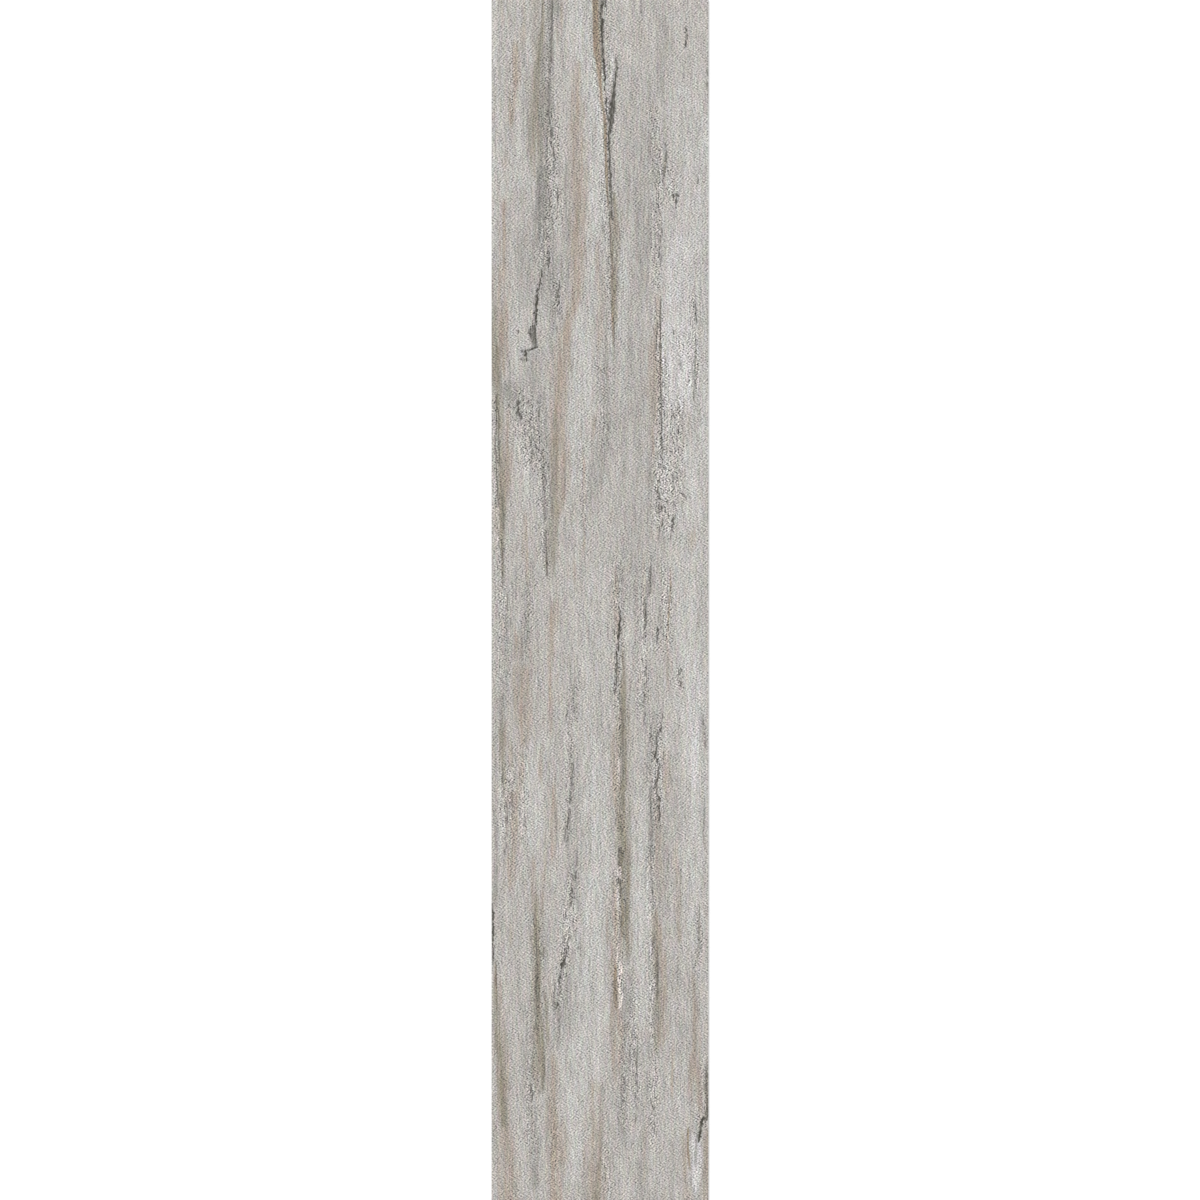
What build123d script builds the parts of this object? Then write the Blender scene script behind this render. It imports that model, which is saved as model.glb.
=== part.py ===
"""A peel and stick vinyl plank: one flat, square-cut plank of pressed PVC, lying face up.

The plank is laminated in a press and die-cut from the sheet as one piece, so it is one solid. Its back lies on
the XY plane, centred on the origin. Its length runs along Y, its width along X, and its printed face is up.
"""

import os

from build123d import *

# Driving dimensions, in millimetres
PLANK_LENGTH = 914.4  # 36 in, along Y
PLANK_WIDTH = 165.1  # 6.5 in, along X
PLANK_THICKNESS = 2.0  # from the adhesive back to the printed face, along Z
FACE_EDGE_RADIUS = 0.3  # the cutting die rolls the face over this far at its rim

PARTS_FOLDER = "parts"


def cut_blank():
    """The blank as the die leaves it: square corners, so that planks butt with no gap, and upright walls."""
    outline = Rectangle(PLANK_WIDTH, PLANK_LENGTH)
    return extrude(outline, amount=PLANK_THICKNESS)


def vinyl_plank():
    """The plank: the blank with the rim of its face rolled over, and a crisp lower edge at the back."""
    blank = cut_blank()
    face_rim = blank.faces().sort_by(Axis.Z)[-1].edges()
    return fillet(face_rim, radius=FACE_EDGE_RADIUS)


def main():
    os.makedirs(PARTS_FOLDER, exist_ok=True)
    export_step(vinyl_plank(), os.path.join(PARTS_FOLDER, "vinyl_plank.step"))


main()
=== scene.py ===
"""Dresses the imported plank: a peel and stick vinyl plank with a whitewashed, weathered wood print.

The print and the relief are pressed in register, so both are drawn from one list of marks. The marks are laid
out as on the plank itself: millimetres across from its left edge, and along from its top end. The net's
steps and the grain's sizes are in millimetres too, and all that goes into the scene is in metres. The plank
lies face up, with its length along Y and its width along X.
"""

import math

import bpy
import numpy as np
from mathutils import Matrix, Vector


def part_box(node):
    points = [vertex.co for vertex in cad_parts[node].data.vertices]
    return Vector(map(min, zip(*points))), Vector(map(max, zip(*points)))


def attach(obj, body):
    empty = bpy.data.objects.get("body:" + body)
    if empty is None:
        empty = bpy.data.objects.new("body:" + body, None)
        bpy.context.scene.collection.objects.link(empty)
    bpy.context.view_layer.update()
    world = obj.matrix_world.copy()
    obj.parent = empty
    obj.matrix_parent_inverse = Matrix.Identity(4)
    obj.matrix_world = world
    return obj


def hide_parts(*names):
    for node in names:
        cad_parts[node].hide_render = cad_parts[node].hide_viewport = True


bl_info = {
    "name": "Vinyl plank dresser",
    "version": (1, 0, 0),
    "blender": (4, 5, 0),
    "location": "View3D > Sidebar > Plank",
    "description": "Prints, presses and lights a peel and stick vinyl plank",
    "category": "Object",
}

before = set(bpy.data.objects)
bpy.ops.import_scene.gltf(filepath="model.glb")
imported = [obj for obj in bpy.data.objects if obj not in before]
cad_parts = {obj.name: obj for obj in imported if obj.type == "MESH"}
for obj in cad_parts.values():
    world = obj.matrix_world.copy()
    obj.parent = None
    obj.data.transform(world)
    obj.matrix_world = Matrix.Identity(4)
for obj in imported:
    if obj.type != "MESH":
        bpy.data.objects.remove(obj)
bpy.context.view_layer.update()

# Sizes from the frame
NODE = "vinyl_plank"
LOW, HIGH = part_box(NODE)
WIDTH = HIGH.x - LOW.x
LENGTH = HIGH.y - LOW.y
MM = 0.001
WIDTH_MM = WIDTH / MM
LENGTH_MM = LENGTH / MM

# The face's net of points: close across the grain, where marks are narrow, wider along it, and closer in rows
# where cracks turn or chips crowd
COLUMNS = 201
ROWS = 460
# The plain step between rows, and the stretches with a closer one: start, end and step, in millimetres
PLAIN_ROW_STEP = 2.8
BUSY_STRETCHES = (
    (215, 246, 1.5), (246, 277, 0.8), (300, 325, 1.4), (345, 410, 1.5), (462, 493, 1.6), (493, 502, 0.9),
    (502, 532, 1.6), (545, 612, 1.5), (640, 645, 1.5), (645, 676, 1.1), (676, 772, 1.5), (840, 870, 1.2),
)
# Levels along the plank at which the crowding of the rows is added up
CROWDING_LEVELS = 8001
RIM_STEPS = 3
# Rings of faces that show the cut core: the last step of the rim, and the wall
CUT_RINGS = 2
# Millimetres that the rim's steps and the walls take up when the skin is laid out flat, and the margin that
# is left for them
FLAT_RIM_STEP = 0.25
FLAT_WALL = 2.0
FLAT_MARGIN = 4.0
# Shares of the flat map: its lower margin and its height, and the start and width of the strips on it
MAP_MARGIN = 0.01
MAP_HEIGHT = 0.98
FACE_STRIP_START = 0.002
FACE_STRIP_WIDTH = 0.46
UNDER_STRIP_START = 0.93
UNDER_STRIP_WIDTH = 0.06
# Material slots of the skin, in the order in which the finishes are added
PRINT_SLOT, CUT_SLOT, PAPER_SLOT = 0, 1, 2
SEED = 7

# Marks of the print. Each has a strength and the line down its middle: across, along and width, in
# millimetres. A mark that runs off the plank goes on beyond its edge or end
PALE_BANDS = (
    (0.7, (
        (66, -12, 22), (72, 40, 18), (78, 80, 16), (80, 130, 16), (78, 170, 14), (74, 210, 12), (69, 240, 14),
    )),
    (0.7, ((69, 230, 14), (68, 280, 14), (65, 320, 14), (64, 350, 9), (63, 375, 6))),
    (0.4, ((4, -12, 8), (3, 100, 8), (4, 150, 9), (3, 195, 6))),
    (0.4, ((24, -12, 9), (25, 60, 9), (22, 110, 12), (18, 150, 10))),
    (0.4, ((20, 225, 12), (20, 260, 14), (20, 288, 12))),
    (0.5, ((161, 85, 8), (161, 150, 12), (160, 230, 12), (160, 300, 12), (158, 360, 14))),
    (0.6, ((99, 175, 4), (100, 200, 6), (100, 235, 6), (100, 262, 5))),
    (0.5, ((152, 335, 14), (154, 368, 14), (152, 400, 20), (150, 440, 22), (150, 470, 24), (152, 560, 18))),
    (0.3, ((30, 345, 12), (30, 400, 10))),
    (0.35, ((75, 425, 12), (76, 460, 16), (78, 520, 22), (80, 560, 18))),
    (0.6, ((34, 560, 10), (33, 585, 14), (33, 615, 14), (31, 640, 10), (31, 655, 6))),
    (0.7, ((80, 555, 14), (80, 600, 17), (80, 650, 17), (78, 690, 18), (75, 730, 20), (73, 770, 22))),
    (0.6, ((73, 760, 22), (68, 800, 24), (65, 840, 18), (64, 880, 12), (60, 905, 8))),
    (0.55, ((112, 600, 10), (112, 640, 12), (113, 690, 14), (114, 740, 14), (115, 790, 10))),
    (0.5, ((154, 560, 18), (155, 620, 18), (152, 680, 16), (150, 730, 10))),
    (0.4, ((142, 795, 8), (143, 830, 8), (142, 860, 6))),
    (0.8, ((163, 82, 5), (162.5, 110, 7), (163, 140, 6))),
    (0.4, ((146, 55, 18), (150, 95, 28), (150, 126, 22))),
    (0.5, ((101, 228, 5), (101, 262, 6), (101, 296, 6), (101, 318, 4))),
    (0.6, ((67.5, 335, 6), (67.5, 356, 7), (67, 378, 5))),
    (0.6, ((164, 138, 3), (164, 154, 4), (164, 172, 3))),
)
TAN_STAINS = (
    (0.85, ((18.6, 28, 3), (18.2, 45, 6), (18, 60, 6.5), (17, 75, 6), (15.6, 90, 5), (14.4, 102, 3))),
    (0.5, ((25, -6, 2), (24.5, 15, 3), (24.5, 30, 3), (24, 45, 2))),
    (0.4, ((6, -6, 3), (7, 12, 4), (8, 22, 2))),
    (0.6, ((54, -6, 3), (53, 10, 3.5), (52, 25, 3), (51, 40, 2))),
    (0.45, ((113, 12, 3), (114, 28, 4), (112.5, 44, 3))),
    (0.7, (
        (65, 42, 3), (65, 62, 6), (65, 85, 9), (65, 110, 10), (66, 140, 12), (67, 170, 13), (66, 204, 11),
    )),
    (0.85, (
        (66, 185, 12), (64, 225, 10), (59, 245, 8), (55, 262, 12), (52, 285, 14), (51, 310, 12),
        (50, 345, 11),
    )),
    (0.8, ((50, 330, 11), (52, 350, 12), (52, 375, 10), (49, 397, 6))),
    (0.45, ((80, 178, 2), (81, 195, 4), (82, 215, 5), (84, 230, 5), (82, 250, 6), (83, 272, 5))),
    (0.5, ((11, 110, 3), (10, 122, 4), (10, 134, 2))),
    (0.8, ((9.5, 148, 3), (9, 175, 4), (9, 200, 4), (9, 215, 7), (8, 240, 10), (8, 265, 8), (8, 292, 7))),
    (0.7, ((13, 306, 3), (12.5, 325, 5), (12.5, 345, 6), (12, 365, 6), (11, 387, 3))),
    (0.6, ((79, 310, 2), (77.5, 325, 3), (76, 340, 2))),
    (0.75, (
        (127, 222, 3), (126.6, 245, 4), (125.6, 262, 6), (124, 285, 8), (122.5, 310, 7), (122, 335, 4),
        (123, 352, 2),
    )),
    (0.5, ((4, 378, 4), (4, 395, 5), (6, 408, 4), (7, 422, 2))),
    (0.55, ((26, 386, 3), (25, 405, 3), (25, 418, 4), (27, 432, 4), (28, 449, 3))),
    (0.55, ((70.8, 343, 1.2), (70.6, 372, 1.6), (70.4, 400, 1.6), (70.6, 426, 1.2))),
    (0.5, ((64, 422, 2), (63.5, 436, 3), (63, 454, 2))),
    (0.6, ((95.5, 423, 2), (95.5, 440, 3), (94.5, 455, 3), (95.5, 475, 3), (95.5, 497, 2))),
    (0.5, ((115.5, 413, 2), (116.5, 440, 4), (117, 460, 3))),
    (0.45, ((153.5, 396, 2), (153.5, 415, 3), (152, 430, 2))),
    (0.4, ((134, 476, 3), (134, 495, 4), (134, 512, 3), (135, 532, 2))),
    (0.7, (
        (49, 452, 8), (47.5, 470, 7.5), (45.6, 485, 6), (45.2, 500, 5), (45, 515, 3), (45.6, 535, 5),
        (44, 562, 3),
    )),
    (0.5, ((19, 476, 3), (20.5, 490, 4), (21, 508, 6))),
    (0.75, ((22, 503, 8), (23, 520, 12), (24, 540, 11), (25, 555, 9), (24, 574, 6))),
    (0.7, ((29, 488, 2), (29, 505, 4), (28.5, 522, 3))),
    (0.65, ((23.5, 566, 4), (22.5, 590, 4), (21, 605, 4), (20, 625, 4))),
    (0.65, ((17, 598, 6), (17, 625, 8), (16, 645, 8), (15, 665, 9), (13, 682, 6))),
    (0.55, ((10, 543, 4), (12, 560, 6), (15, 572, 5), (16, 592, 4))),
    (0.6, ((37, 564, 2), (37, 585, 3), (36.5, 604, 2))),
    (0.6, ((48, 593, 3), (46, 608, 6), (46.5, 625, 6), (47, 640, 3), (46.5, 662, 3))),
    (0.5, ((41, 626, 2), (41, 645, 3), (40, 660, 3), (39, 675, 4), (38.5, 692, 5))),
    (0.6, ((33, 648, 3), (32.5, 668, 4), (33, 685, 5), (34, 702, 5))),
    (0.8, ((94.6, 548, 3), (94.2, 565, 5), (94, 580, 6), (94, 600, 6), (94.5, 620, 4))),
    (0.6, ((93, 666, 4), (94, 685, 5), (95, 705, 5), (95, 727, 6))),
    (0.6, ((133, 566, 4), (133, 585, 5), (134, 600, 6), (136, 614, 4))),
    (0.55, ((127, 630, 4), (126, 650, 5), (126, 664, 4))),
    (0.55, ((139, 638, 3), (140, 655, 4), (142, 675, 5), (142, 700, 4), (144, 722, 3))),
    (0.75, (
        (126, 688, 4), (126, 705, 5), (128, 725, 6), (129, 745, 6), (130, 765, 5), (130, 785, 4),
        (129, 802, 4),
    )),
    (0.65, ((153, 736, 3), (154, 755, 4), (155, 775, 5), (156, 795, 6), (157, 815, 6), (157, 837, 4))),
    (0.5, ((46, 730, 2), (46, 750, 3), (45.5, 772, 2))),
    (0.55, ((13.5, 696, 2), (14.5, 710, 3), (15, 724, 2))),
    (0.75, (
        (95, 713, 9), (94, 735, 6), (94.5, 755, 5), (96, 775, 8), (96, 790, 9), (95.5, 805, 8), (94, 828, 4),
    )),
    (0.6, ((37, 797, 8), (37, 825, 6))),
    (0.75, (
        (46, 797, 3), (47, 815, 5), (46, 835, 7), (46, 855, 9), (49, 870, 13), (48, 890, 11), (48, 905, 10),
        (48, 926, 10),
    )),
    (0.5, ((54, 848, 3), (54.5, 868, 5), (54, 890, 4))),
    (0.55, ((117, 853, 2), (117, 880, 4), (117.5, 907, 4))),
    (0.5, ((138, 793, 2), (137.5, 815, 3), (137, 842, 2))),
    (0.5, ((146, 858, 3), (147, 885, 6), (148, 905, 6), (148, 926, 5))),
    (0.7, ((155, 793, 6), (157, 815, 6), (158, 835, 5), (158.5, 852, 3))),
    (0.6, ((164, 853, 3), (164, 880, 5), (163.5, 926, 6))),
    (0.45, ((78.5, 820, 5), (78, 838, 10), (78.6, 856, 13), (79.5, 875, 15), (80, 895, 17), (80, 926, 18))),
    (0.5, ((80, 850, 4), (80, 870, 9), (80, 890, 12), (80, 926, 14))),
    (0.7, (
        (6, 743, 3), (6, 765, 5), (8, 785, 7), (8, 805, 8), (8.5, 830, 8), (9.5, 855, 9), (12, 878, 13),
        (13, 926, 13),
    )),
    (0.6, ((82.6, 62, 2), (83, 74, 3), (84.2, 86, 2))),
    (0.45, ((31, 46, 3), (31, 70, 6), (32, 92, 7), (33, 114, 5))),
    (0.4, ((127, 606, 4), (127, 630, 7), (128, 660, 8), (128, 690, 7))),
    (0.5, ((151.5, 796, 3), (151.5, 818, 5), (152, 846, 4))),
    (0.7, ((15.4, 62, 2), (15, 74, 3.4), (14.6, 88, 2))),
    (0.6, ((151.4, 400, 3), (151.6, 412, 4), (151, 426, 3))),
    (0.6, ((132, 720, 2.4), (132.6, 742, 4.4), (132.6, 768, 3))),
    (0.6, ((10.6, 792, 3), (11.4, 815, 4.4), (12, 838, 3))),
    (0.5, ((88.6, 688, 3), (88.8, 706, 4.4), (88.6, 724, 3))),
)
BROWN_SLIVERS = (
    (0.8, (
        (90.3, 163, 1.2), (91.2, 190, 1.6), (91.8, 210, 1.6), (92.2, 230, 1.4), (93, 250, 1.2),
        (93.4, 267, 0.8),
    )),
    (1.0, ((136, 430, 1), (136, 445, 1.6), (135.5, 458, 1.4), (134.5, 470, 1.3), (134, 482, 1.3))),
    (0.5, ((132.4, 122, 1), (132, 135, 1.4), (131.6, 144, 1))),
    (0.6, ((3, 733, 1), (3.3, 745, 1.4), (3.4, 757, 1))),
    (0.6, ((101, 686, 1.6), (100.4, 698, 2.4), (99.8, 707, 1.4))),
    (1.0, ((149.6, 857, 1), (149.9, 866, 2), (150.2, 876, 2.2), (150.8, 884, 1.6), (151.8, 892, 1))),
    (0.5, ((42, 422, 1.6), (42.3, 440, 1.4))),
    (1.0, (
        (79.1, -12, 4.8), (79.1, 10, 4.9), (79.3, 22, 4.9), (79.8, 35, 4.7), (80.6, 43, 4.6), (82, 50, 4.6),
        (82.6, 58, 3.8), (82.9, 65, 3.2), (83.8, 71, 2),
    )),
    (1.0, (
        (83.6, 67, 1.8), (84.9, 80, 2.2), (86.2, 90, 2.4), (86.8, 100, 2.5), (87, 110, 2.4), (87.3, 122, 2),
        (87.6, 135, 1.8), (88.2, 148, 1.6), (89.2, 162, 1.4),
    )),
    (1.0, ((94.8, 733, 1), (94.6, 745, 2), (94.5, 756, 2.2), (94.6, 766, 1.6), (94.8, 772, 0.8))),
)
OLIVE_STAINS = (
    (0.65, (
        (38.6, -12, 3.4), (38, 20, 3.8), (36.5, 35, 5), (35.2, 55, 7), (34.4, 82, 8.5), (34.6, 104, 8),
        (35, 122, 6),
    )),
    (0.35, ((35.5, 45, 9), (35, 70, 14), (35, 100, 15), (35.5, 122, 12), (36, 140, 8))),
    (0.6, ((57, 116, 1.5), (56, 130, 1.8), (55, 150, 1.8))),
    (0.35, ((66, 153, 2), (65.5, 170, 3), (65, 187, 1.5))),
    (0.4, ((134, 16, 2), (133.8, 32, 3), (133, 44, 2))),
    (0.6, ((1, 195, 2), (1.6, 225, 3.4), (2.2, 250, 4), (3.6, 275, 5), (4.5, 295, 6), (5, 312, 6))),
    (0.7, (
        (5, 298, 5), (5.6, 320, 5.5), (6, 345, 6), (7, 370, 5.5), (8, 392, 4.5), (9, 420, 3.5),
        (9.4, 446, 2.5),
    )),
    (0.6, ((5, 260, 3), (5, 282, 6), (5, 298, 4))),
    (0.45, (
        (50, 303, 1.5), (48.5, 325, 3.5), (48, 345, 4.5), (48, 360, 5), (48, 378, 4.5), (48, 392, 4),
        (47, 405, 6), (46, 432, 3),
    )),
    (0.55, ((7.5, 333, 3), (8, 350, 5), (8, 365, 6), (9, 380, 4), (9, 395, 4), (9, 412, 2))),
    (0.9, (
        (99.4, 488, 2), (99.6, 502, 4.4), (99.8, 516, 6.4), (100, 532, 7.4), (100.4, 548, 7.6),
        (101, 566, 7.4), (101.6, 588, 7), (101.2, 607, 7),
    )),
    (1.0, (
        (101.2, 590, 7), (100, 618, 9.5), (99.8, 632, 10), (100.4, 645, 9.5), (101, 660, 9.5),
        (101.2, 680, 8), (101.2, 695, 7), (100.5, 706, 5.5), (99, 720, 4),
    )),
    (0.5, ((101, 694, 6), (102, 715, 6), (102, 738, 4))),
    (0.7, ((7.5, 538, 2), (8, 560, 3.5), (8, 575, 5), (9.5, 590, 4.5), (10, 602, 3), (10.5, 617, 1.5))),
    (0.6, (
        (34, 676, 3), (34, 700, 5), (34, 718, 7), (34, 735, 8), (34, 755, 9), (34.2, 775, 9.4),
        (35, 795, 9.4), (36, 812, 8.4), (37, 834, 6),
    )),
    (0.9, (
        (33.6, 684, 1.6), (33.6, 705, 2.6), (33.8, 730, 3.2), (34.2, 755, 3.6), (34.4, 780, 3.6),
        (35.4, 804, 2.6),
    )),
    (0.45, ((36, 788, 8), (37, 810, 8), (36, 838, 6))),
    (0.9, (
        (2.4, 738, 1.6), (3, 760, 3.4), (4.2, 785, 5), (6, 802, 6), (7.6, 820, 6), (8.6, 840, 5.2),
        (9.6, 864, 3.6),
    )),
    (0.55, ((48.5, 833, 1.5), (48.5, 855, 2.5), (48.5, 875, 2.5), (48, 897, 2))),
    (0.6, ((80.6, 856, 2), (81, 876, 3), (81, 900, 3.6), (79.6, 914, 8), (79.6, 926, 9))),
    (0.45, (
        (124.5, 690, 2.5), (125.2, 715, 4), (126.4, 745, 5), (126.6, 770, 5.5), (126.4, 790, 5),
        (126, 808, 2),
    )),
    (0.5, ((164.5, 812, 1.5), (164.5, 850, 2))),
    (1.0, (
        (92.6, 142, 1.6), (93.4, 152, 3.6), (93.9, 165, 5.2), (94, 182, 5.6), (93.8, 200, 5.2),
        (93.6, 216, 4.6), (93.4, 232, 3.8), (93.4, 248, 2.8), (93.5, 264, 1.4),
    )),
    (0.6, ((102.4, 640, 3), (102.6, 660, 4), (102.4, 690, 4), (101.6, 706, 3))),
    (0.45, ((83.4, -12, 3.6), (83.2, 20, 3.6), (83.8, 40, 3), (85, 60, 2))),
    (0.4, ((77.6, -12, 2), (78, 4, 2.4), (78.4, 10, 1))),
    (0.3, ((33, -12, 7), (32.5, 20, 8), (32, 44, 6))),
    (0.45, ((49, 385, 4), (47.5, 405, 7), (46.5, 425, 7), (45, 444, 4))),
    (0.8, ((95, 498, 1.6), (95, 510, 2.2), (94.6, 524, 1.6))),
    (0.5, ((103.6, 690, 3), (103.4, 712, 4.4), (103.6, 736, 3))),
    (0.7, ((164.2, 812, 2), (163.8, 830, 3.4), (164, 856, 3))),
    (0.35, ((164, 862, 2), (164, 885, 3), (163.6, 910, 3))),
    (0.7, ((39.4, -12, 3), (39, 6, 3), (38.4, 16, 2))),
    (0.6, ((0.6, 240, 2.4), (0.6, 260, 3), (0.6, 284, 3), (0.8, 302, 2))),
    (0.75, ((39, 750, 3), (40.6, 768, 5.4), (42, 784, 5.4), (42, 802, 3))),
    (0.4, ((31.2, 738, 2), (31, 756, 3.4), (31.4, 778, 2))),
    (0.5, ((31.4, 108, 3), (31.4, 124, 4.4), (32, 140, 2.4))),
    (0.4, ((38.4, 674, 2), (38.6, 688, 3), (38.6, 702, 2))),
)
GREY_WEATHER = (
    (0.5, ((43, -12, 5), (43.5, 20, 5), (44, 45, 4), (45, 65, 6), (45, 90, 5))),
    (0.25, ((126, 84, 12), (127, 115, 14), (126, 150, 10))),
    (0.35, ((25, 52, 5), (25, 90, 6), (26, 124, 4))),
    (0.5, ((41, 26, 4), (41, 60, 6), (41, 90, 6), (42, 122, 5))),
    (0.4, ((57, 114, 4), (57, 150, 5), (56, 190, 5))),
    (0.4, ((35.5, 132, 4), (35.5, 150, 5), (35.5, 174, 4))),
    (0.25, ((130, 6, 5), (131, 45, 6), (130, 84, 5))),
    (0.3, ((24, 176, 12), (24, 210, 14), (28, 240, 12))),
    (0.35, ((46, 226, 6), (46, 252, 4))),
    (0.4, ((64, 495, 5), (64, 525, 7), (64, 556, 5))),
    (0.4, ((124, 536, 4), (124, 560, 6), (122, 588, 5))),
    (0.3, ((25, 754, 6), (26, 800, 8), (24, 846, 6))),
    (0.4, ((58, 720, 10), (60, 750, 12), (58, 794, 10))),
    (0.3, ((98, 810, 4), (98, 845, 6), (99, 874, 4))),
    (0.35, ((136, 864, 3), (136, 895, 4), (136, 926, 4))),
    (0.4, ((34, 262, 14), (30, 300, 15), (31, 330, 16), (36, 356, 12))),
    (0.25, ((84, 272, 12), (86, 310, 16), (84, 345, 18), (80, 372, 12), (76, 390, 8))),
    (0.21, ((112, 250, 26), (112, 300, 28), (114, 350, 26), (110, 400, 26), (108, 462, 28))),
    (0.2, ((12, 455, 20), (14, 490, 24), (12, 540, 20))),
    (0.6, (
        (41.5, 108, 1.5), (41, 140, 2.2), (39.5, 160, 1.5), (39.8, 185, 1.5), (39, 205, 1.5), (38, 225, 1),
    )),
    (0.2, ((40, 175, 28), (42, 205, 30), (42, 230, 28))),
    (0.2, ((113, 105, 14), (113, 140, 14), (114, 165, 12), (119, 185, 8), (116, 205, 6), (115, 228, 4))),
    (0.4, ((121, 146, 4), (121, 175, 5), (119, 198, 4))),
    (0.25, (
        (86, 262, 4), (86, 285, 6), (88, 300, 5), (88, 320, 6), (86, 340, 8), (85, 355, 8), (80, 370, 6),
        (76, 384, 4),
    )),
    (0.8, ((9, 287, 6), (9, 306, 7))),
    (0.9, ((14.5, 290, 8), (16, 309, 8))),
    (0.7, ((20, 292, 6), (21, 312, 6), (22, 326, 4))),
    (0.7, ((42, 386, 3), (42, 400, 4), (41.5, 415, 2.5), (42, 430, 2.5), (42.3, 442, 1))),
    (0.5, ((98, 422, 3), (98.5, 445, 5), (98.5, 464, 5))),
    (0.4, ((107, 397, 2), (107, 420, 3), (105, 443, 3))),
    (0.55, ((121, 422, 2), (121, 445, 3), (119, 462, 5), (117.5, 475, 3), (116.5, 493, 1.5))),
    (0.45, ((12, 447, 3), (13, 470, 4), (12, 490, 4), (11, 510, 5))),
    (0.45, ((11, 505, 4), (8.6, 525, 6), (7.6, 545, 6.5), (8, 566, 4))),
    (0.5, ((26, 442, 4), (27, 465, 5), (26, 485, 5), (25.5, 503, 3))),
    (0.32, (
        (60, 562, 5), (61, 590, 6), (62, 610, 7), (61.5, 630, 8), (62, 650, 9), (63, 670, 8), (61, 696, 6),
    )),
    (0.28, ((121, 577, 3), (121, 610, 5), (121.5, 640, 4), (122, 664, 3))),
    (0.3, ((136, 601, 8), (137, 630, 12), (138, 649, 10))),
    (0.35, ((134, 642, 4), (133, 668, 5))),
    (0.35, ((1.5, 555, 4), (2, 600, 5), (3, 640, 4), (4, 675, 4), (3, 695, 5))),
    (0.45, ((104, 735, 5), (106, 758, 8), (105, 776, 5))),
    (0.35, ((104, 770, 4), (102.5, 800, 5), (101.5, 830, 5), (101.5, 860, 4), (101, 884, 2))),
    (0.35, ((53, 736, 6), (52, 765, 8), (51, 785, 6), (47, 804, 6))),
    (0.5, ((33, 796, 2), (30, 815, 5), (29, 830, 5), (31, 850, 6), (32, 870, 8), (33, 890, 8), (33, 909, 5))),
    (0.35, ((158.5, 687, 1.2), (158, 710, 2), (157.5, 738, 1.5))),
    (0.4, ((25.5, 591, 2), (26, 625, 2), (25, 649, 2))),
    (0.95, ((38, 122, 5), (38.4, 134, 9), (38.6, 145, 10), (38.4, 160, 9), (37.6, 172, 8), (36.5, 192, 7))),
    (0.2, ((114, 50, 24), (118, 100, 34), (115, 150, 36), (112, 200, 34), (112, 260, 28))),
    (0.5, ((44, -12, 5), (44.5, 10, 5), (45, 25, 3))),
    (0.4, ((47, 148, 5), (46, 180, 7), (46, 205, 13), (46, 222, 14), (46, 246, 10))),
    (0.4, ((39.4, 322, 4), (41, 338, 6), (42, 352, 7), (42.5, 380, 6), (42, 410, 6))),
    (0.3, ((87, 220, 4), (87, 250, 5), (86, 290, 6))),
    (0.24, ((123, 596, 6), (124, 620, 10), (125, 645, 12), (125, 670, 12), (125, 694, 8))),
    (0.35, ((137, 566, 3), (137, 586, 4), (137, 604, 4))),
    (0.3, ((10, 262, 6), (11, 285, 8), (8, 312, 8))),
    (0.4, ((66.4, 628, 2), (66.2, 650, 3), (65.6, 676, 2))),
    (0.7, ((51.6, 742, 4), (50, 756, 6), (49, 776, 3))),
    (0.5, ((37.4, 126, 5), (37.8, 145, 8), (37, 174, 6))),
    (0.6, ((14, 286, 14), (15, 299, 16), (16, 312, 12))),
    (0.6, ((49.4, -12, 4), (49.6, 8, 4.4), (49, 20, 2.4))),
    (0.5, ((73.6, -12, 2.4), (73.8, 6, 2.4), (74, 14, 1.4))),
    (0.55, ((24.4, 28, 2), (24.2, 42, 3), (24, 58, 2))),
    (0.55, ((56.6, 184, 3), (56.2, 204, 4.4), (55.6, 220, 4.4), (55, 230, 3))),
    (0.6, ((90.8, 96, 2.4), (90.8, 106, 2.6), (90.8, 118, 1.6))),
    (0.35, ((150, 82, 4), (151, 94, 5), (151, 108, 3))),
    (0.4, ((152, 136, 3), (152, 146, 4), (152, 156, 3))),
    (0.45, ((30.4, 424, 3), (30.4, 442, 4), (30, 458, 3))),
    (0.4, ((67, 502, 2.4), (67, 522, 3.4), (66.6, 546, 2.4))),
    (0.55, ((100.6, 744, 2.4), (101, 766, 4), (101.4, 786, 4), (101, 804, 2.4))),
    (0.35, ((117, 858, 5), (117, 885, 8), (116.6, 926, 9))),
    (0.5, ((45, 248, 2.4), (45, 262, 3.4), (44.6, 276, 2.4))),
    (0.4, ((44, 203, 2.4), (44, 215, 3.4), (44, 227, 2.4))),
    (0.5, ((3.4, 612, 2), (3.6, 630, 3.4), (3.8, 652, 2.4))),
    (0.5, ((158, 528, 1.6), (158, 545, 2.6), (158, 562, 1.6))),
)
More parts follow.
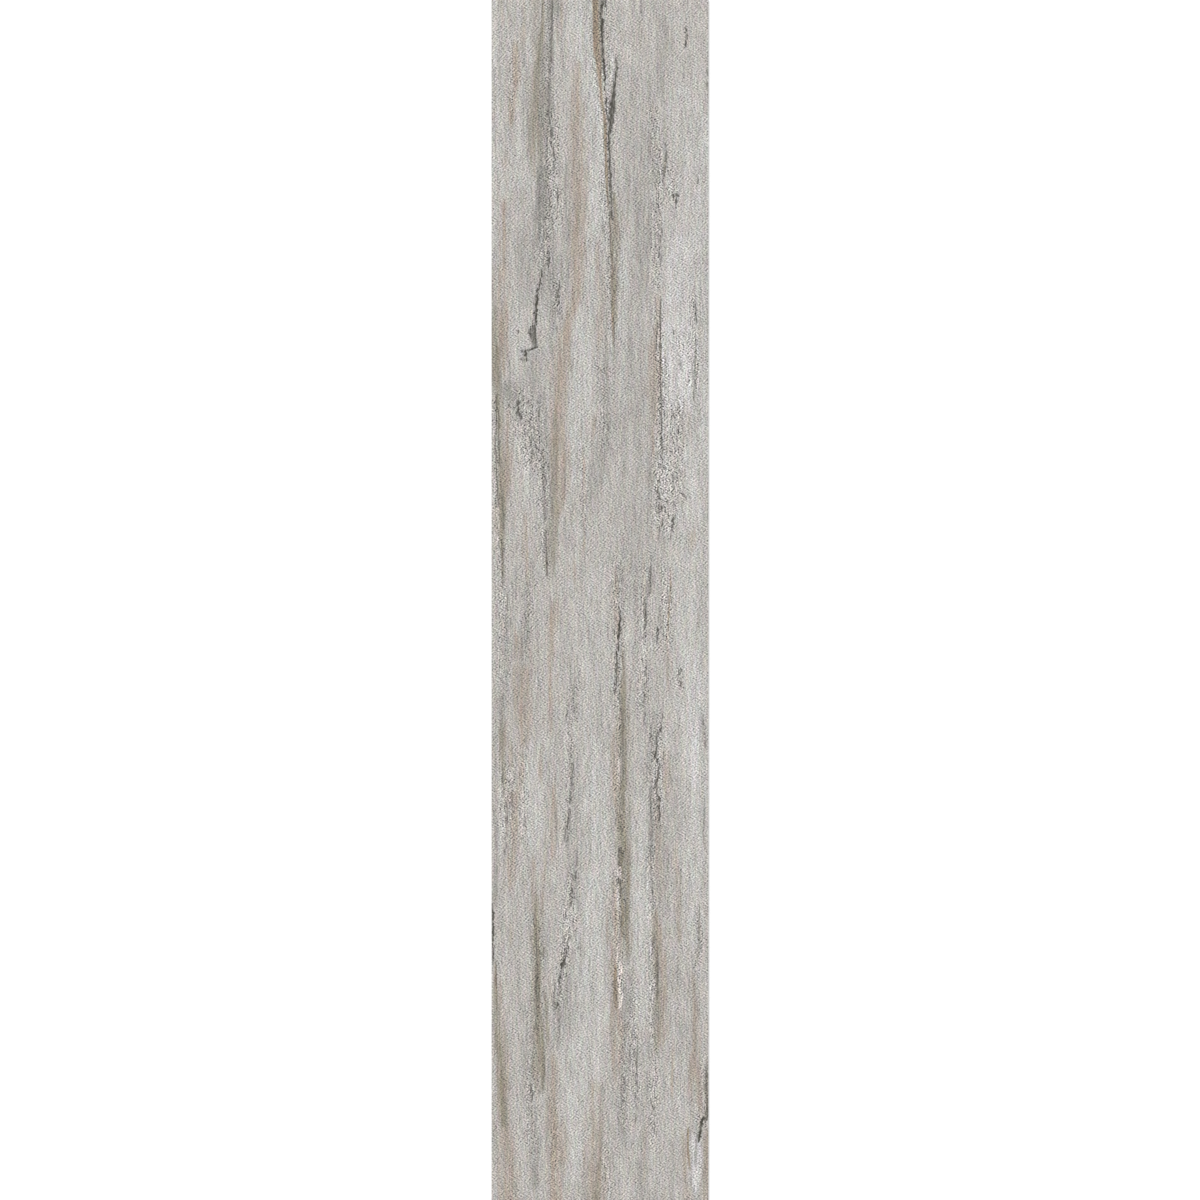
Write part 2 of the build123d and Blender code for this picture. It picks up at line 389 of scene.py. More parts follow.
CHALK_PATCHES = (
    (0.25, ((150, 353, 5), (153, 370, 8), (155, 382, 4))),
    (0.3, ((132, 343, 3), (132, 365, 7), (132, 381, 6))),
    (0.55, ((156.4, 500, 3), (156, 516, 6), (155, 540, 10), (154.6, 560, 9), (154, 574, 6))),
    (0.5, ((155, 562, 6), (155, 585, 8), (154, 603, 6))),
    (0.7, ((130.5, 222, 0.8), (130.4, 280, 1), (130.4, 346, 0.9))),
    (0.7, ((87.2, 47, 1), (88, 65, 1.6), (88.4, 85, 1.4), (88.4, 104, 1))),
    (0.5, ((91, 41, 1.5), (92, 52, 2), (90.5, 63, 1.5))),
    (0.6, ((9.3, 616, 0.9), (9.6, 628, 1.3), (10.2, 640, 0.9))),
    (0.35, ((89.3, 886, 0.9), (89.5, 905, 1.5), (89.5, 926, 1.5))),
    (0.22, ((152, 112, 6), (149, 140, 20), (146, 170, 26), (145, 200, 20))),
    (0.55, (
        (143, 178, 6), (142, 192, 16), (141.5, 205, 20), (141, 235, 22), (142, 275, 22), (142, 300, 22),
        (142, 314, 18),
    )),
    (0.9, (
        (153.4, 862, 2), (154.6, 868, 5), (156.4, 875, 7.5), (157, 883, 7.5), (156.4, 892, 6),
        (155.6, 902, 4), (155, 910, 2),
    )),
    (0.4, ((147, 262, 6), (148, 285, 9), (148, 306, 8))),
    (0.6, ((155.6, 866, 5), (156.6, 875, 8), (157, 886, 6))),
    (0.85, ((154, 864, 2), (154.6, 874, 3.4), (154.9, 888, 3.2), (155.2, 900, 2.2), (155.4, 910, 1.2))),
    (0.4, ((150.6, 286, 4), (151, 302, 5), (150.6, 318, 3))),
    (0.3, ((135, 314, 3), (135.4, 328, 4), (135, 342, 3))),
)
CREAM_CHIPS = (
    (0.5, ((162.4, 832, 1), (162.6, 845, 1.2))),
    (0.9, ((95.2, 713, 0.9), (95.6, 721, 1.3), (95.6, 730, 1.1), (96, 736, 0.8))),
    (1.0, (
        (97, 731, 1.4), (97.8, 735, 2.5), (97.9, 741, 2.5), (97.2, 745, 1.9), (97, 750, 1.7),
        (97.7, 753, 1.9), (98.6, 757, 2.8), (98.8, 761, 2.6), (98.2, 765, 1.9), (97.6, 770, 0.9),
    )),
    (0.55, ((96.4, 658.5, 2), (97.2, 662, 3.4), (97.2, 666, 3), (97, 669, 1.4))),
    (0.45, ((96, 674, 1.4), (96.2, 688, 2), (96.8, 702, 1.2))),
    (0.4, ((97, 576, 1.2), (96.4, 590, 2), (97, 600, 1.4))),
    (0.6, ((87, 64, 0.8), (87.3, 72, 1.1), (87.7, 84, 1.1), (88.1, 98, 0.8))),
)
CRACKS = (
    (0.85, (
        (147.6, 21, 0.8), (148.2, 24, 1), (148.8, 27, 2.2), (148.6, 29.5, 2), (148, 32, 1), (147.6, 36, 0.9),
        (147.4, 38, 0.6),
    )),
    (0.5, ((164, 53, 1), (164.8, 59, 1.5))),
    (0.55, ((164.5, 63, 1.4), (164.2, 69, 1.2))),
    (0.75, ((43, 89, 1.2), (44.5, 93, 1.4), (45.5, 98, 1.4), (45.8, 104, 1.6), (45, 110, 1))),
    (0.7, ((46.5, 111, 0.7), (47.5, 118, 1.2), (48, 124, 1), (47.8, 133, 0.8))),
    (0.7, ((50.5, 144, 1), (50.7, 152, 1.2), (50.3, 159, 0.8))),
    (0.85, ((43.5, 192, 1), (43.8, 199, 1.6), (42.8, 204, 1.2))),
    (0.4, ((127, 245, 0.8), (126, 256, 1), (125.4, 267, 0.8))),
    (0.6, ((154.8, 229, 0.7), (155.5, 238, 1), (156.2, 246, 1))),
    (0.15, ((156, 261, 0.7), (155.2, 275, 1.1), (154.6, 290, 1), (154.3, 303, 0.7))),
    (0.2, (
        (4, 302, 0.7), (3.2, 320, 0.9), (2.8, 335, 1.2), (3.4, 350, 1.3), (3.8, 362, 1.2), (4.4, 375, 0.9),
        (5, 386, 0.8),
    )),
    (0.2, ((4.8, 306, 0.8), (5.4, 330, 1.1), (5.8, 344, 1))),
    (0.3, ((9, 387, 1.1), (9.6, 400, 1), (8.5, 412, 0.8), (8.6, 424, 1), (8.4, 438, 1), (8.8, 447, 0.7))),
    (0.15, ((40.3, 344, 0.8), (40.5, 365, 1.1), (41, 385, 1), (41.5, 396, 1.4))),
    (0.4, ((43, 354, 0.7), (44.5, 372, 1), (46.5, 391, 0.8))),
    (0.45, ((41.8, 419, 1.2), (42.2, 430, 1.6), (42.4, 439, 1))),
    (0.4, ((56.5, 344, 0.7), (56, 365, 0.9), (55.5, 381, 0.7))),
    (0.55, ((121.8, 424, 0.7), (121.2, 440, 1), (120.6, 453, 1))),
    (1.0, (
        (97, 462, 0.7), (97.6, 466, 1.1), (98.1, 470, 2), (97.4, 475, 1.5), (97.3, 482, 1.6), (97, 488, 1.4),
        (96.6, 493, 1.4), (96, 495.6, 1.4),
    )),
    (0.95, ((96.1, 495.4, 1.2), (95.2, 497.2, 1.4), (94.4, 498.6, 1.4), (94.2, 500.5, 0.9))),
    (0.9, ((95.4, 499, 0.9), (95.3, 506, 1.3), (94.8, 512, 1.5), (94.3, 519, 1.3), (94, 529, 0.8))),
    (0.7, ((93.2, 479, 1), (94, 482.5, 1.4))),
    (0.7, ((117.3, 459, 1), (117.6, 470, 1.4), (116.8, 479, 1))),
    (0.85, ((126.8, 479, 1), (126, 485, 1.3), (125.5, 489, 0.8))),
    (0.7, ((117.6, 507, 0.7), (117.7, 514, 1), (117.4, 520, 0.7))),
    (0.6, ((116, 521, 0.7), (116.6, 530, 1), (116.5, 545, 1), (116.6, 559, 0.7))),
    (0.85, (
        (130.5, 542, 0.7), (130, 550, 1), (128.5, 556, 1.4), (126.5, 560, 1.3), (125.8, 566, 1.4),
        (125, 571, 1.2), (124, 575, 1.4), (126, 579, 1.3), (127.6, 582, 1.2), (127, 588, 1.2),
        (126.2, 594, 1.3), (125.2, 600, 1.2), (126, 604, 1), (128, 608, 1.4), (127.6, 614, 1.2),
        (128, 622, 1), (128, 631, 0.7),
    )),
    (0.28, ((121.2, 598, 0.8), (121, 612, 1.2), (121.5, 622, 1), (122, 636, 1.2), (122, 651, 1))),
    (0.5, ((53, 771, 0.7), (51.5, 779, 1))),
    (0.32, (
        (99.5, 540, 1), (100, 548, 1.2), (99.8, 556, 1), (99.5, 566, 1.2), (99.5, 580, 1), (99.6, 595, 1.2),
        (99.2, 610, 1), (98.6, 625, 1.4), (98.8, 641, 0.8),
    )),
    (0.6, ((97.6, 696, 0.7), (98.2, 701, 1.4), (98.8, 707, 0.8))),
    (0.55, ((11.8, 611, 0.8), (11.4, 625, 1.3), (11.2, 638, 1), (10.4, 647, 1.2), (10.5, 652, 1))),
    (0.5, ((8.3, 585, 0.8), (8.5, 598, 0.7))),
    (0.5, ((14.3, 599, 0.7), (15.3, 607, 0.8), (15.6, 616, 0.7))),
    (0.6, ((26, 622, 1), (25.8, 629, 0.9))),
    (0.9, ((0.4, 688, 1), (0.8, 700, 2), (1, 715, 1.6), (1.3, 725, 1), (1.6, 733, 0.7))),
    (0.15, ((158.3, 696, 0.7), (158.2, 706, 1), (157.8, 717, 0.7))),
    (0.5, ((123.6, 711, 0.8), (123.2, 723, 1))),
    (0.45, ((126.2, 721, 0.7), (126.8, 740, 0.9), (126.5, 761, 0.7))),
    (0.6, ((160.6, 544, 0.7), (161.4, 553, 0.9), (162, 559, 0.7))),
    (0.6, ((162.2, 559, 0.7), (163, 566, 1), (163.2, 571, 0.7))),
    (0.3, ((162, 611, 0.7), (162.3, 622, 1), (162.4, 630, 0.7))),
    (0.5, ((164.4, 806, 0.7), (164, 820, 0.9), (164.2, 832, 1), (164.6, 842, 0.8))),
    (0.7, ((164.9, 843, 1), (164.6, 846, 1.6), (164, 850, 2.2), (163, 853, 1.8))),
    (1.0, ((161.8, 851.5, 1.5), (160, 855, 2), (159, 860, 2.3), (158, 865, 2.4), (157.4, 869, 1.2))),
    (0.5, ((156, 868, 0.8), (155.8, 878, 0.9), (155.9, 886, 0.7))),
    (0.7, ((30, 825, 0.8), (30.8, 832, 1.2), (31, 839, 1))),
    (0.5, ((36.8, 830, 0.8), (35.5, 837, 1.4))),
    (0.5, ((40.2, 811, 0.7), (40, 822, 1), (38.5, 831, 0.8))),
    (0.5, ((101.4, 819, 0.8), (101.3, 831, 1.4))),
    (0.45, ((110.6, 799, 0.7), (110.6, 815, 0.8), (110.2, 835, 0.7), (110, 856, 0.7))),
    (0.5, ((122, 839, 0.7), (124.5, 850, 1.1), (123.5, 863, 1))),
    (0.45, ((106.6, 870, 1.4), (105, 876, 1.4))),
    (0.6, ((39.8, 722, 1), (40, 729, 0.8))),
    (0.45, ((113, -2, 0.7), (114.2, 7, 0.9), (115.4, 15, 0.7))),
    (0.65, ((132.8, 109, 0.7), (133, 120, 1.2), (131.4, 130, 1.2), (130.6, 139, 1))),
    (0.85, ((141.5, 147.5, 1.6), (141.2, 149.5, 2.4), (140.2, 152, 1.4), (141, 158, 0.8))),
    (0.85, ((138.4, 147.5, 1), (138.6, 150.5, 1.6))),
    (0.7, ((156.2, 133, 0.7), (157, 140, 1))),
    (0.6, (
        (128, 171, 0.8), (130, 176, 1), (128.4, 186, 0.8), (127, 190, 1), (128.5, 196, 1.2), (130, 199, 0.8),
    )),
    (0.5, ((85, 171, 0.8), (85.3, 178, 1))),
    (0.7, ((138, 251.5, 1), (138.4, 254.5, 1))),
    (0.6, ((143.3, 271, 0.8), (143.9, 277, 1), (145.2, 282.5, 1))),
    (1.0, (
        (84.5, -3, 1.5), (84.4, 3, 1.6), (83.7, 8, 1.1), (83.2, 12, 0.8), (83.9, 16, 1.8), (84, 21, 2.5),
        (84, 26, 2.1), (84.4, 31, 1.3), (84.4, 38, 1.3), (84.5, 44, 1.3), (85.6, 46.5, 1.1), (86, 52, 1.3),
        (86, 60, 1.2), (86.4, 66, 0.9), (87, 73, 0.7), (87.6, 82, 0.6),
    )),
    (0.75, (
        (87.8, 84, 0.6), (88.3, 92, 0.8), (89, 99, 1.1), (89.5, 106, 1.4), (89.9, 118, 1.4), (90.3, 132, 1.5),
        (90.8, 146, 1.5), (91.2, 156, 1.3), (91.7, 168, 0.9),
    )),
    (0.9, (
        (95.5, 46, 0.7), (95.4, 52, 1.3), (94.5, 58, 1.9), (93.8, 64, 2.3), (93, 70, 2.5), (92.4, 76, 2.8),
        (92, 81, 3.2), (91.5, 86, 3.6), (91.2, 90, 3.4), (90.9, 94, 2.6), (90.6, 98, 1.9), (90.5, 101, 1.4),
    )),
    (0.5, ((94, 43, 0.7), (94.3, 48, 0.8))),
    (0.95, ((87, 0.5, 1), (87.4, 2.5, 1.5), (87.2, 4.8, 1.9), (87.4, 6.2, 1))),
    (0.4, ((46.6, -3, 1.2), (46.2, 10, 1.2), (45.8, 24, 0.8))),
    (0.25, ((45.6, 26, 0.8), (45.2, 40, 0.9), (44.8, 55, 0.8), (44, 75, 0.8), (43.5, 89, 0.8))),
    (1.0, (
        (38.2, 205, 0.6), (37.6, 213, 0.7), (36.4, 219, 0.9), (35, 222.5, 1.4), (34.7, 226, 1.6),
        (34, 230, 2), (33.6, 236, 2.3), (33.5, 242, 2.2), (33.4, 247, 2),
    )),
    (0.95, (
        (32.6, 246.5, 1.2), (31, 249.5, 1.8), (29.8, 251.5, 2.4), (29.4, 253.5, 2), (29.6, 256.5, 1.2),
        (30.6, 260, 0.9),
    )),
    (0.5, ((31.4, 249.5, 2.4), (31.3, 253, 3.6), (31.6, 257, 3.6), (32.2, 261, 3.2), (33, 264, 2.2))),
    (1.0, ((33.2, 246, 1.8), (32.9, 251, 1.7), (33.2, 256, 1.6), (33.7, 260, 1.7), (34.1, 264, 1.8))),
    (0.95, (
        (34.3, 264.3, 1.6), (31.4, 265.8, 1.6), (28.6, 267, 1.3), (25.4, 267.8, 1.2), (23.6, 268.1, 0.8),
    )),
    (0.95, ((25.4, 267.8, 1.2), (26, 270, 1.6), (26.6, 272, 1.7), (26.8, 274, 1.4))),
    (0.95, ((22, 273.6, 1), (23.2, 274.3, 1.3), (25, 274.7, 1.4), (26.9, 274.9, 1.2))),
    (0.75, ((52, 214, 0.7), (51.6, 221, 0.9), (50.6, 225, 1.2), (51.6, 228, 1), (50.9, 232.5, 1.1))),
    (0.5, ((53, 238, 0.7), (53.4, 243.5, 1.1))),
    (0.5, ((49.8, 249, 1), (50, 251.5, 1))),
    (0.75, ((19.9, 251.8, 1.2), (20.1, 253.4, 1.3))),
    (0.8, ((13, 308, 1.2), (13.6, 310.5, 1.6))),
    (0.9, ((20.3, 306, 1), (20.3, 308.3, 1.6))),
    (0.8, ((20.3, 311, 0.9), (20.2, 313.8, 1.1))),
    (0.7, ((19, 315.3, 1.2), (19.6, 316, 0.8))),
    (0.75, ((21.6, 316, 1.8), (22.4, 318.4, 2.4), (21.4, 320.4, 1.4))),
    (0.6, ((31, 304.3, 1), (29.6, 305.3, 0.9), (27.4, 307, 0.9), (26.6, 308, 0.7))),
    (0.5, ((32.4, 304.8, 0.8), (34.4, 306, 0.8), (35.4, 307.4, 0.6))),
    (0.6, ((35.6, 311.5, 0.8), (36, 314.5, 0.9), (36.4, 317.3, 1.2))),
    (0.6, ((30.6, 318.3, 1), (29.6, 319.6, 1), (29, 321.4, 0.8))),
    (0.6, ((31.2, 319, 0.9), (33, 320, 1), (34, 320.4, 0.7))),
    (0.5, ((29.6, 323, 0.8), (28.6, 325.6, 1))),
    (0.55, ((28.8, 328, 0.8), (27.6, 329.6, 1.2))),
    (0.55, ((27.6, 331.6, 0.8), (28.4, 334, 1))),
    (0.55, ((32.6, 332.3, 0.9), (30.8, 333.4, 0.9), (30, 334.6, 0.7))),
    (0.5, ((33, 332.5, 0.9), (34.2, 333, 0.8))),
    (0.6, ((36.2, 332, 1), (36.4, 333, 1))),
    (0.45, ((32.8, 335.6, 0.8), (34.4, 337, 0.7))),
    (0.45, ((25.6, 340, 0.7), (26.8, 342.5, 0.8), (27, 345.6, 0.7))),
    (0.4, ((36, 338, 0.7), (36.6, 342, 0.8))),
    (0.15, (
        (128.6, 239, 0.7), (128.6, 255, 0.9), (128.7, 270, 0.9), (128.8, 285, 1), (128.8, 300, 0.8),
        (129, 313, 0.8),
    )),
    (0.2, ((129.3, 311, 0.8), (129.4, 325, 1), (129.5, 338, 0.8))),
    (0.35, ((130.2, 339, 0.8), (130.3, 349, 1), (130.4, 358, 0.9))),
    (0.5, ((126.3, 344, 0.7), (126.7, 350, 0.9))),
    (0.6, ((127.8, 356, 0.8), (127.3, 360, 0.9))),
    (0.75, ((127.6, 365.4, 1), (128, 367.5, 1.4))),
    (0.75, ((127.2, 370.5, 1), (126.8, 374, 1.1), (127.2, 378, 1.3), (126.6, 381, 0.7))),
    (0.8, ((127.6, 382, 0.8), (128.8, 386, 1.6), (129.4, 389.5, 1.2))),
    (0.6, ((127.4, 385, 0.8), (127, 392, 0.8))),
    (0.85, ((130.4, 395.5, 1), (129.6, 398, 1.5), (128.8, 401.5, 1))),
    (0.65, ((127.9, 402, 0.8), (127.5, 408, 0.9), (127.2, 414, 0.7))),
    (0.9, ((139.2, 393.5, 0.8), (138.4, 396, 1.3), (138, 400, 1.1), (137.6, 405, 0.7))),
    (0.5, ((136.8, 406, 0.7), (136, 412, 0.8))),
    (0.5, ((134, 381, 0.7), (134.4, 384, 0.9))),
    (0.5, ((138, 367, 0.8), (139, 371, 0.8))),
    (0.6, ((145.6, 376, 0.8), (147.4, 378.2, 1.1), (148.6, 379.6, 0.8))),
    (0.45, ((139.4, 359.5, 0.8), (139.8, 362.5, 0.9))),
    (0.45, ((137, 362, 0.7), (138.4, 365.6, 0.8))),
    (0.4, ((144, 360, 0.8), (146.6, 363.4, 0.8))),
    (0.4, ((139, 342, 0.7), (141.6, 344.4, 0.8))),
    (0.4, ((144, 334, 0.7), (146.4, 337.6, 0.8))),
    (0.35, ((139.4, 323, 0.7), (142, 328, 0.8), (143.4, 331, 0.6))),
    (0.35, ((138.4, 307, 0.7), (141, 309.4, 0.7), (143.4, 312.6, 0.7))),
    (0.4, ((146, 313, 0.7), (147.4, 317, 0.7))),
    (0.45, ((138.6, 383, 0.7), (140, 386.5, 0.8))),
    (0.85, ((138.5, 315.6, 1.2), (138.8, 317.4, 1.6))),
    (0.5, ((65.2, 653, 0.7), (64.8, 659, 0.8))),
    (0.8, ((64.2, 664, 1), (63.8, 669, 1.3))),
    (0.6, ((62.2, 667, 0.9), (61.8, 669.4, 0.8))),
    (0.6, ((61.4, 671.5, 0.8), (60.9, 675, 0.9))),
    (0.85, ((61.4, 677, 1), (61.1, 681, 1.3))),
    (0.85, ((60.8, 682.5, 0.9), (60.5, 686, 1.2), (60, 690, 0.9))),
    (0.7, ((56.9, 696, 0.9), (56.3, 699, 1.1))),
    (0.6, ((62.8, 699.5, 0.8), (62.2, 702, 1))),
    (0.85, ((59.2, 706, 0.9), (58.4, 708.6, 1.5), (57.6, 710.5, 0.8))),
    (0.75, ((60.2, 712.6, 0.8), (59.4, 714.6, 1.1), (58.4, 716.4, 0.8))),
    (0.5, ((55.8, 713, 0.7), (55.3, 717, 0.8))),
    (0.8, ((58.9, 720.6, 0.9), (58.5, 722.6, 1.2))),
    (0.9, ((57.2, 723.6, 1), (56.7, 726.4, 1.6), (56.2, 729, 1.2), (55.4, 731.2, 1))),
    (0.9, ((54.8, 732.6, 1.8), (54, 735, 3), (53.6, 736.8, 2.4))),
    (0.8, ((54, 738.2, 0.8), (53, 740.6, 1.1))),
    (0.85, ((52.3, 742.8, 1), (51.8, 745.2, 1.3))),
    (0.6, ((51.6, 746.8, 0.8), (50.8, 748.6, 0.8))),
    (0.85, ((49.8, 763.5, 0.9), (49.4, 766, 1.9), (49.2, 768, 0.9))),
    (0.5, ((66.2, 721, 0.8), (66, 723, 0.9))),
    (0.42, ((98.2, 646.4, 2.2), (98.6, 649, 4), (98.8, 653, 4.2), (98.2, 656.5, 3.6), (97.2, 659, 2))),
    (0.8, ((97.8, 646, 0.9), (96.5, 648.6, 0.9), (96.8, 652, 0.8), (96.9, 656, 0.9), (96.2, 659, 1.2))),
    (0.85, ((96.6, 669.4, 1.4), (97.4, 671.5, 2), (98.2, 673.5, 1.2))),
    (0.65, ((98.2, 674.5, 1), (98.5, 678, 1.3), (98.2, 682.5, 1))),
    (0.7, ((62.4, 582, 0.7), (61.6, 592, 0.9), (60.6, 603, 0.9), (59.4, 613, 0.7))),
    (0.7, ((59.2, 617, 0.7), (57.8, 627, 0.9), (56, 636, 0.9), (54.6, 643, 0.7))),
    (0.45, ((58, 594, 0.7), (56.8, 600, 0.9))),
    (0.4, ((60.4, 616, 0.6), (59.6, 628, 0.7), (58, 641, 0.6))),
    (0.6, ((59, 534, 0.6), (57.8, 542, 0.9), (56.4, 552, 0.7))),
    (0.9, (
        (144, 509.6, 0.8), (143, 512, 1), (142.8, 516, 1.1), (143.4, 520, 1.2), (144.8, 522.8, 1.5),
        (145.8, 523.4, 1),
    )),
    (0.35, ((144.6, 510, 0.6), (146, 514, 0.6), (146.2, 519, 0.6))),
)
GRIT_PATCHES = (
    (0.8, ((32, 296, 16), (32, 320, 16), (33, 348, 12))),
    (0.4, ((128, 85, 8), (127, 115, 10), (129, 150, 10), (128, 180, 9), (128, 205, 6))),
    (0.2, ((47, 150, 12), (46, 190, 16), (46, 238, 14))),
    (0.3, ((66, 515, 6), (66, 552, 9))),
    (0.5, ((123, 560, 8), (123, 600, 9), (123, 650, 9), (124, 695, 8))),
    (0.5, ((138, 600, 12), (138, 640, 14), (137, 685, 12))),
    (0.45, ((107, 740, 10), (107, 765, 14), (105, 800, 10))),
    (0.3, ((55, 685, 12), (52, 740, 14), (51, 800, 12))),
    (0.15, ((113, 790, 20), (115, 850, 28), (116, 926, 30))),
    (0.2, ((88, 268, 8), (88, 310, 8), (87, 354, 8))),
    (0.7, ((141, 305, 14), (141, 330, 16), (140, 355, 18), (139, 378, 18), (135, 400, 12), (133, 420, 8))),
)
WORN_LANES = (
    (0.6, ((43, -12, 8), (43, 60, 8), (44, 80, 9))),
    (1.0, ((43, 75, 9), (44, 100, 10), (44, 130, 9), (42, 160, 9), (41, 190, 9), (40, 210, 7))),
    (0.7, ((50, 135, 7), (50, 165, 8), (48, 180, 6))),
    (0.9, ((49, 205, 6), (50, 225, 6), (50, 245, 5))),
    (0.6, (
        (82, -12, 10), (85, 60, 14), (88, 100, 10), (89, 160, 10), (92, 200, 10), (92, 250, 8), (92, 275, 5),
    )),
    (0.5, ((83, 270, 10), (85, 300, 10), (86, 350, 9))),
    (0.8, ((122, 75, 5), (125, 100, 7), (128, 125, 8), (126, 160, 8), (125, 190, 8), (126, 230, 6))),
    (1.0, ((127, 225, 6), (128, 270, 7), (128, 330, 8), (128, 380, 9), (130, 410, 8))),
    (0.9, ((134, 120, 8), (137, 145, 10), (138, 165, 6))),
    (0.7, ((153, 215, 6), (154, 240, 6), (153, 290, 7), (150, 305, 5))),
    (0.7, ((141, 295, 12), (139, 330, 14), (137, 370, 12), (136, 400, 9), (134, 415, 6))),
    (0.6, ((142, 250, 6), (144, 280, 6))),
    (0.8, ((3, 295, 5), (3, 340, 6), (4, 390, 5), (7, 420, 5), (8, 450, 4))),
    (0.9, ((20, 290, 14), (27, 315, 20), (30, 345, 18), (32, 365, 10))),
    (0.8, ((38, 330, 6), (40, 370, 7), (41, 410, 6), (42, 445, 4))),
    (0.5, ((70, 330, 4), (71, 370, 5), (70, 410, 4))),
    (0.9, ((131, 425, 6), (133, 455, 7), (134, 500, 5))),
    (0.7, ((95, 415, 8), (97, 445, 10), (97, 470, 8), (96, 500, 7), (95, 545, 5))),
    (0.6, ((118, 420, 10), (118, 460, 9), (116, 500, 7), (115, 550, 6))),
    (0.6, ((126, 470, 6), (125, 500, 5))),
    (0.6, ((142, 505, 6), (144, 525, 6))),
    (1.0, ((127, 540, 8), (125, 575, 10), (126, 610, 9), (124, 640, 7))),
    (0.7, ((122, 630, 6), (122, 700, 6), (123, 760, 6), (124, 830, 5), (122, 880, 6))),
    (0.7, ((97, 530, 6), (98, 580, 7), (98, 640, 8), (98, 680, 9), (97, 720, 8), (97, 770, 7))),
    (0.6, ((100, 770, 7), (101, 820, 6), (101, 870, 5))),
    (0.6, ((108, 740, 8), (109, 790, 7), (110, 850, 6))),
    (0.6, ((66, 500, 6), (64, 530, 7), (60, 560, 6), (59, 600, 7), (58, 640, 6))),
    (0.9, ((63, 655, 6), (60, 690, 9), (56, 720, 10), (53, 745, 8), (50, 775, 6))),
    (0.7, ((13, 575, 12), (12, 610, 14), (12, 645, 9))),
    (0.5, ((24, 560, 6), (25, 600, 6), (26, 650, 5))),
    (0.6, ((34, 690, 6), (34, 730, 8), (33, 770, 8), (31, 820, 8), (30, 860, 8), (31, 890, 6))),
    (0.6, ((158, 680, 5), (158, 720, 5), (156, 750, 4))),
    (0.5, ((164, 800, 5), (162, 840, 7), (158, 868, 8))),
    (0.5, ((48, 830, 5), (48, 880, 5), (47, 914, 4))),
    (0.5, ((86, 860, 4), (88, 914, 5))),
    (0.5, ((16, 20, 5), (17, 60, 6), (15, 100, 4))),
    (0.5, ((26, 430, 6), (27, 470, 6), (27, 510, 5))),
    (0.5, ((8, 440, 8), (10, 490, 8), (8, 545, 6))),
)
SHADES = (
    (0.5, ((85.2, -12, 3.4), (85, 20, 3.6), (85, 40, 3), (86.2, 58, 2))),
    (0.3, ((46, -12, 2.4), (45.4, 40, 2.2), (44, 90, 2))),
    (0.48, ((33.4, 690, 1.2), (33.6, 715, 1.7), (33.8, 740, 2), (34, 765, 2), (34, 790, 1.5))),
    (0.2, ((124.6, 686, 1.5), (125.2, 720, 2), (126.4, 750, 1.8), (126.8, 778, 1.4))),
    (0.45, ((100, 538, 2), (100.4, 555, 2.4), (100, 575, 2), (100, 598, 2))),
    (0.28, (
        (90, 108, 2), (90.6, 135, 2.4), (91, 160, 2), (91.4, 190, 1.8), (91.9, 215, 1.8), (92.6, 240, 1.4),
    )),
    (0.55, (
        (94.8, 46, 2), (93.8, 58, 3.4), (92.8, 68, 4.2), (92, 78, 4.8), (91.4, 86, 4.8), (90.8, 94, 3.4),
        (90.2, 100, 2),
    )),
    (0.55, ((31.6, 247, 2.5), (31, 252, 4.6), (31.5, 257, 4.6), (32.4, 262, 4), (33, 265.5, 2.5))),
    (0.4, ((94.2, 742, 1), (94.2, 752, 1.4), (94.4, 764, 1))),
    (0.15, (
        (56.8, 702, 1.8), (55.2, 718, 2.4), (53.8, 731, 3), (52.2, 744, 3), (50.6, 758, 2.4),
        (49.4, 770, 1.4),
    )),
    (0.5, ((42, 112, 1), (41.6, 130, 1.2), (41, 150, 1.1), (40, 165, 0.9))),
    (0.45, ((39.6, 172, 0.9), (39.8, 190, 1.1), (39, 208, 1.1), (38, 226, 0.8))),
    (0.15, ((128.3, 228, 0.9), (128.6, 250, 1.1), (128.8, 290, 1.1), (129.2, 320, 1.1), (129.6, 346, 0.9))),
    (0.15, ((155.8, 258, 0.9), (155, 276, 1.1), (154.4, 304, 0.9))),
    (0.3, ((101, 652, 2), (101.4, 668, 3), (101.6, 685, 3), (101, 700, 2))),
)
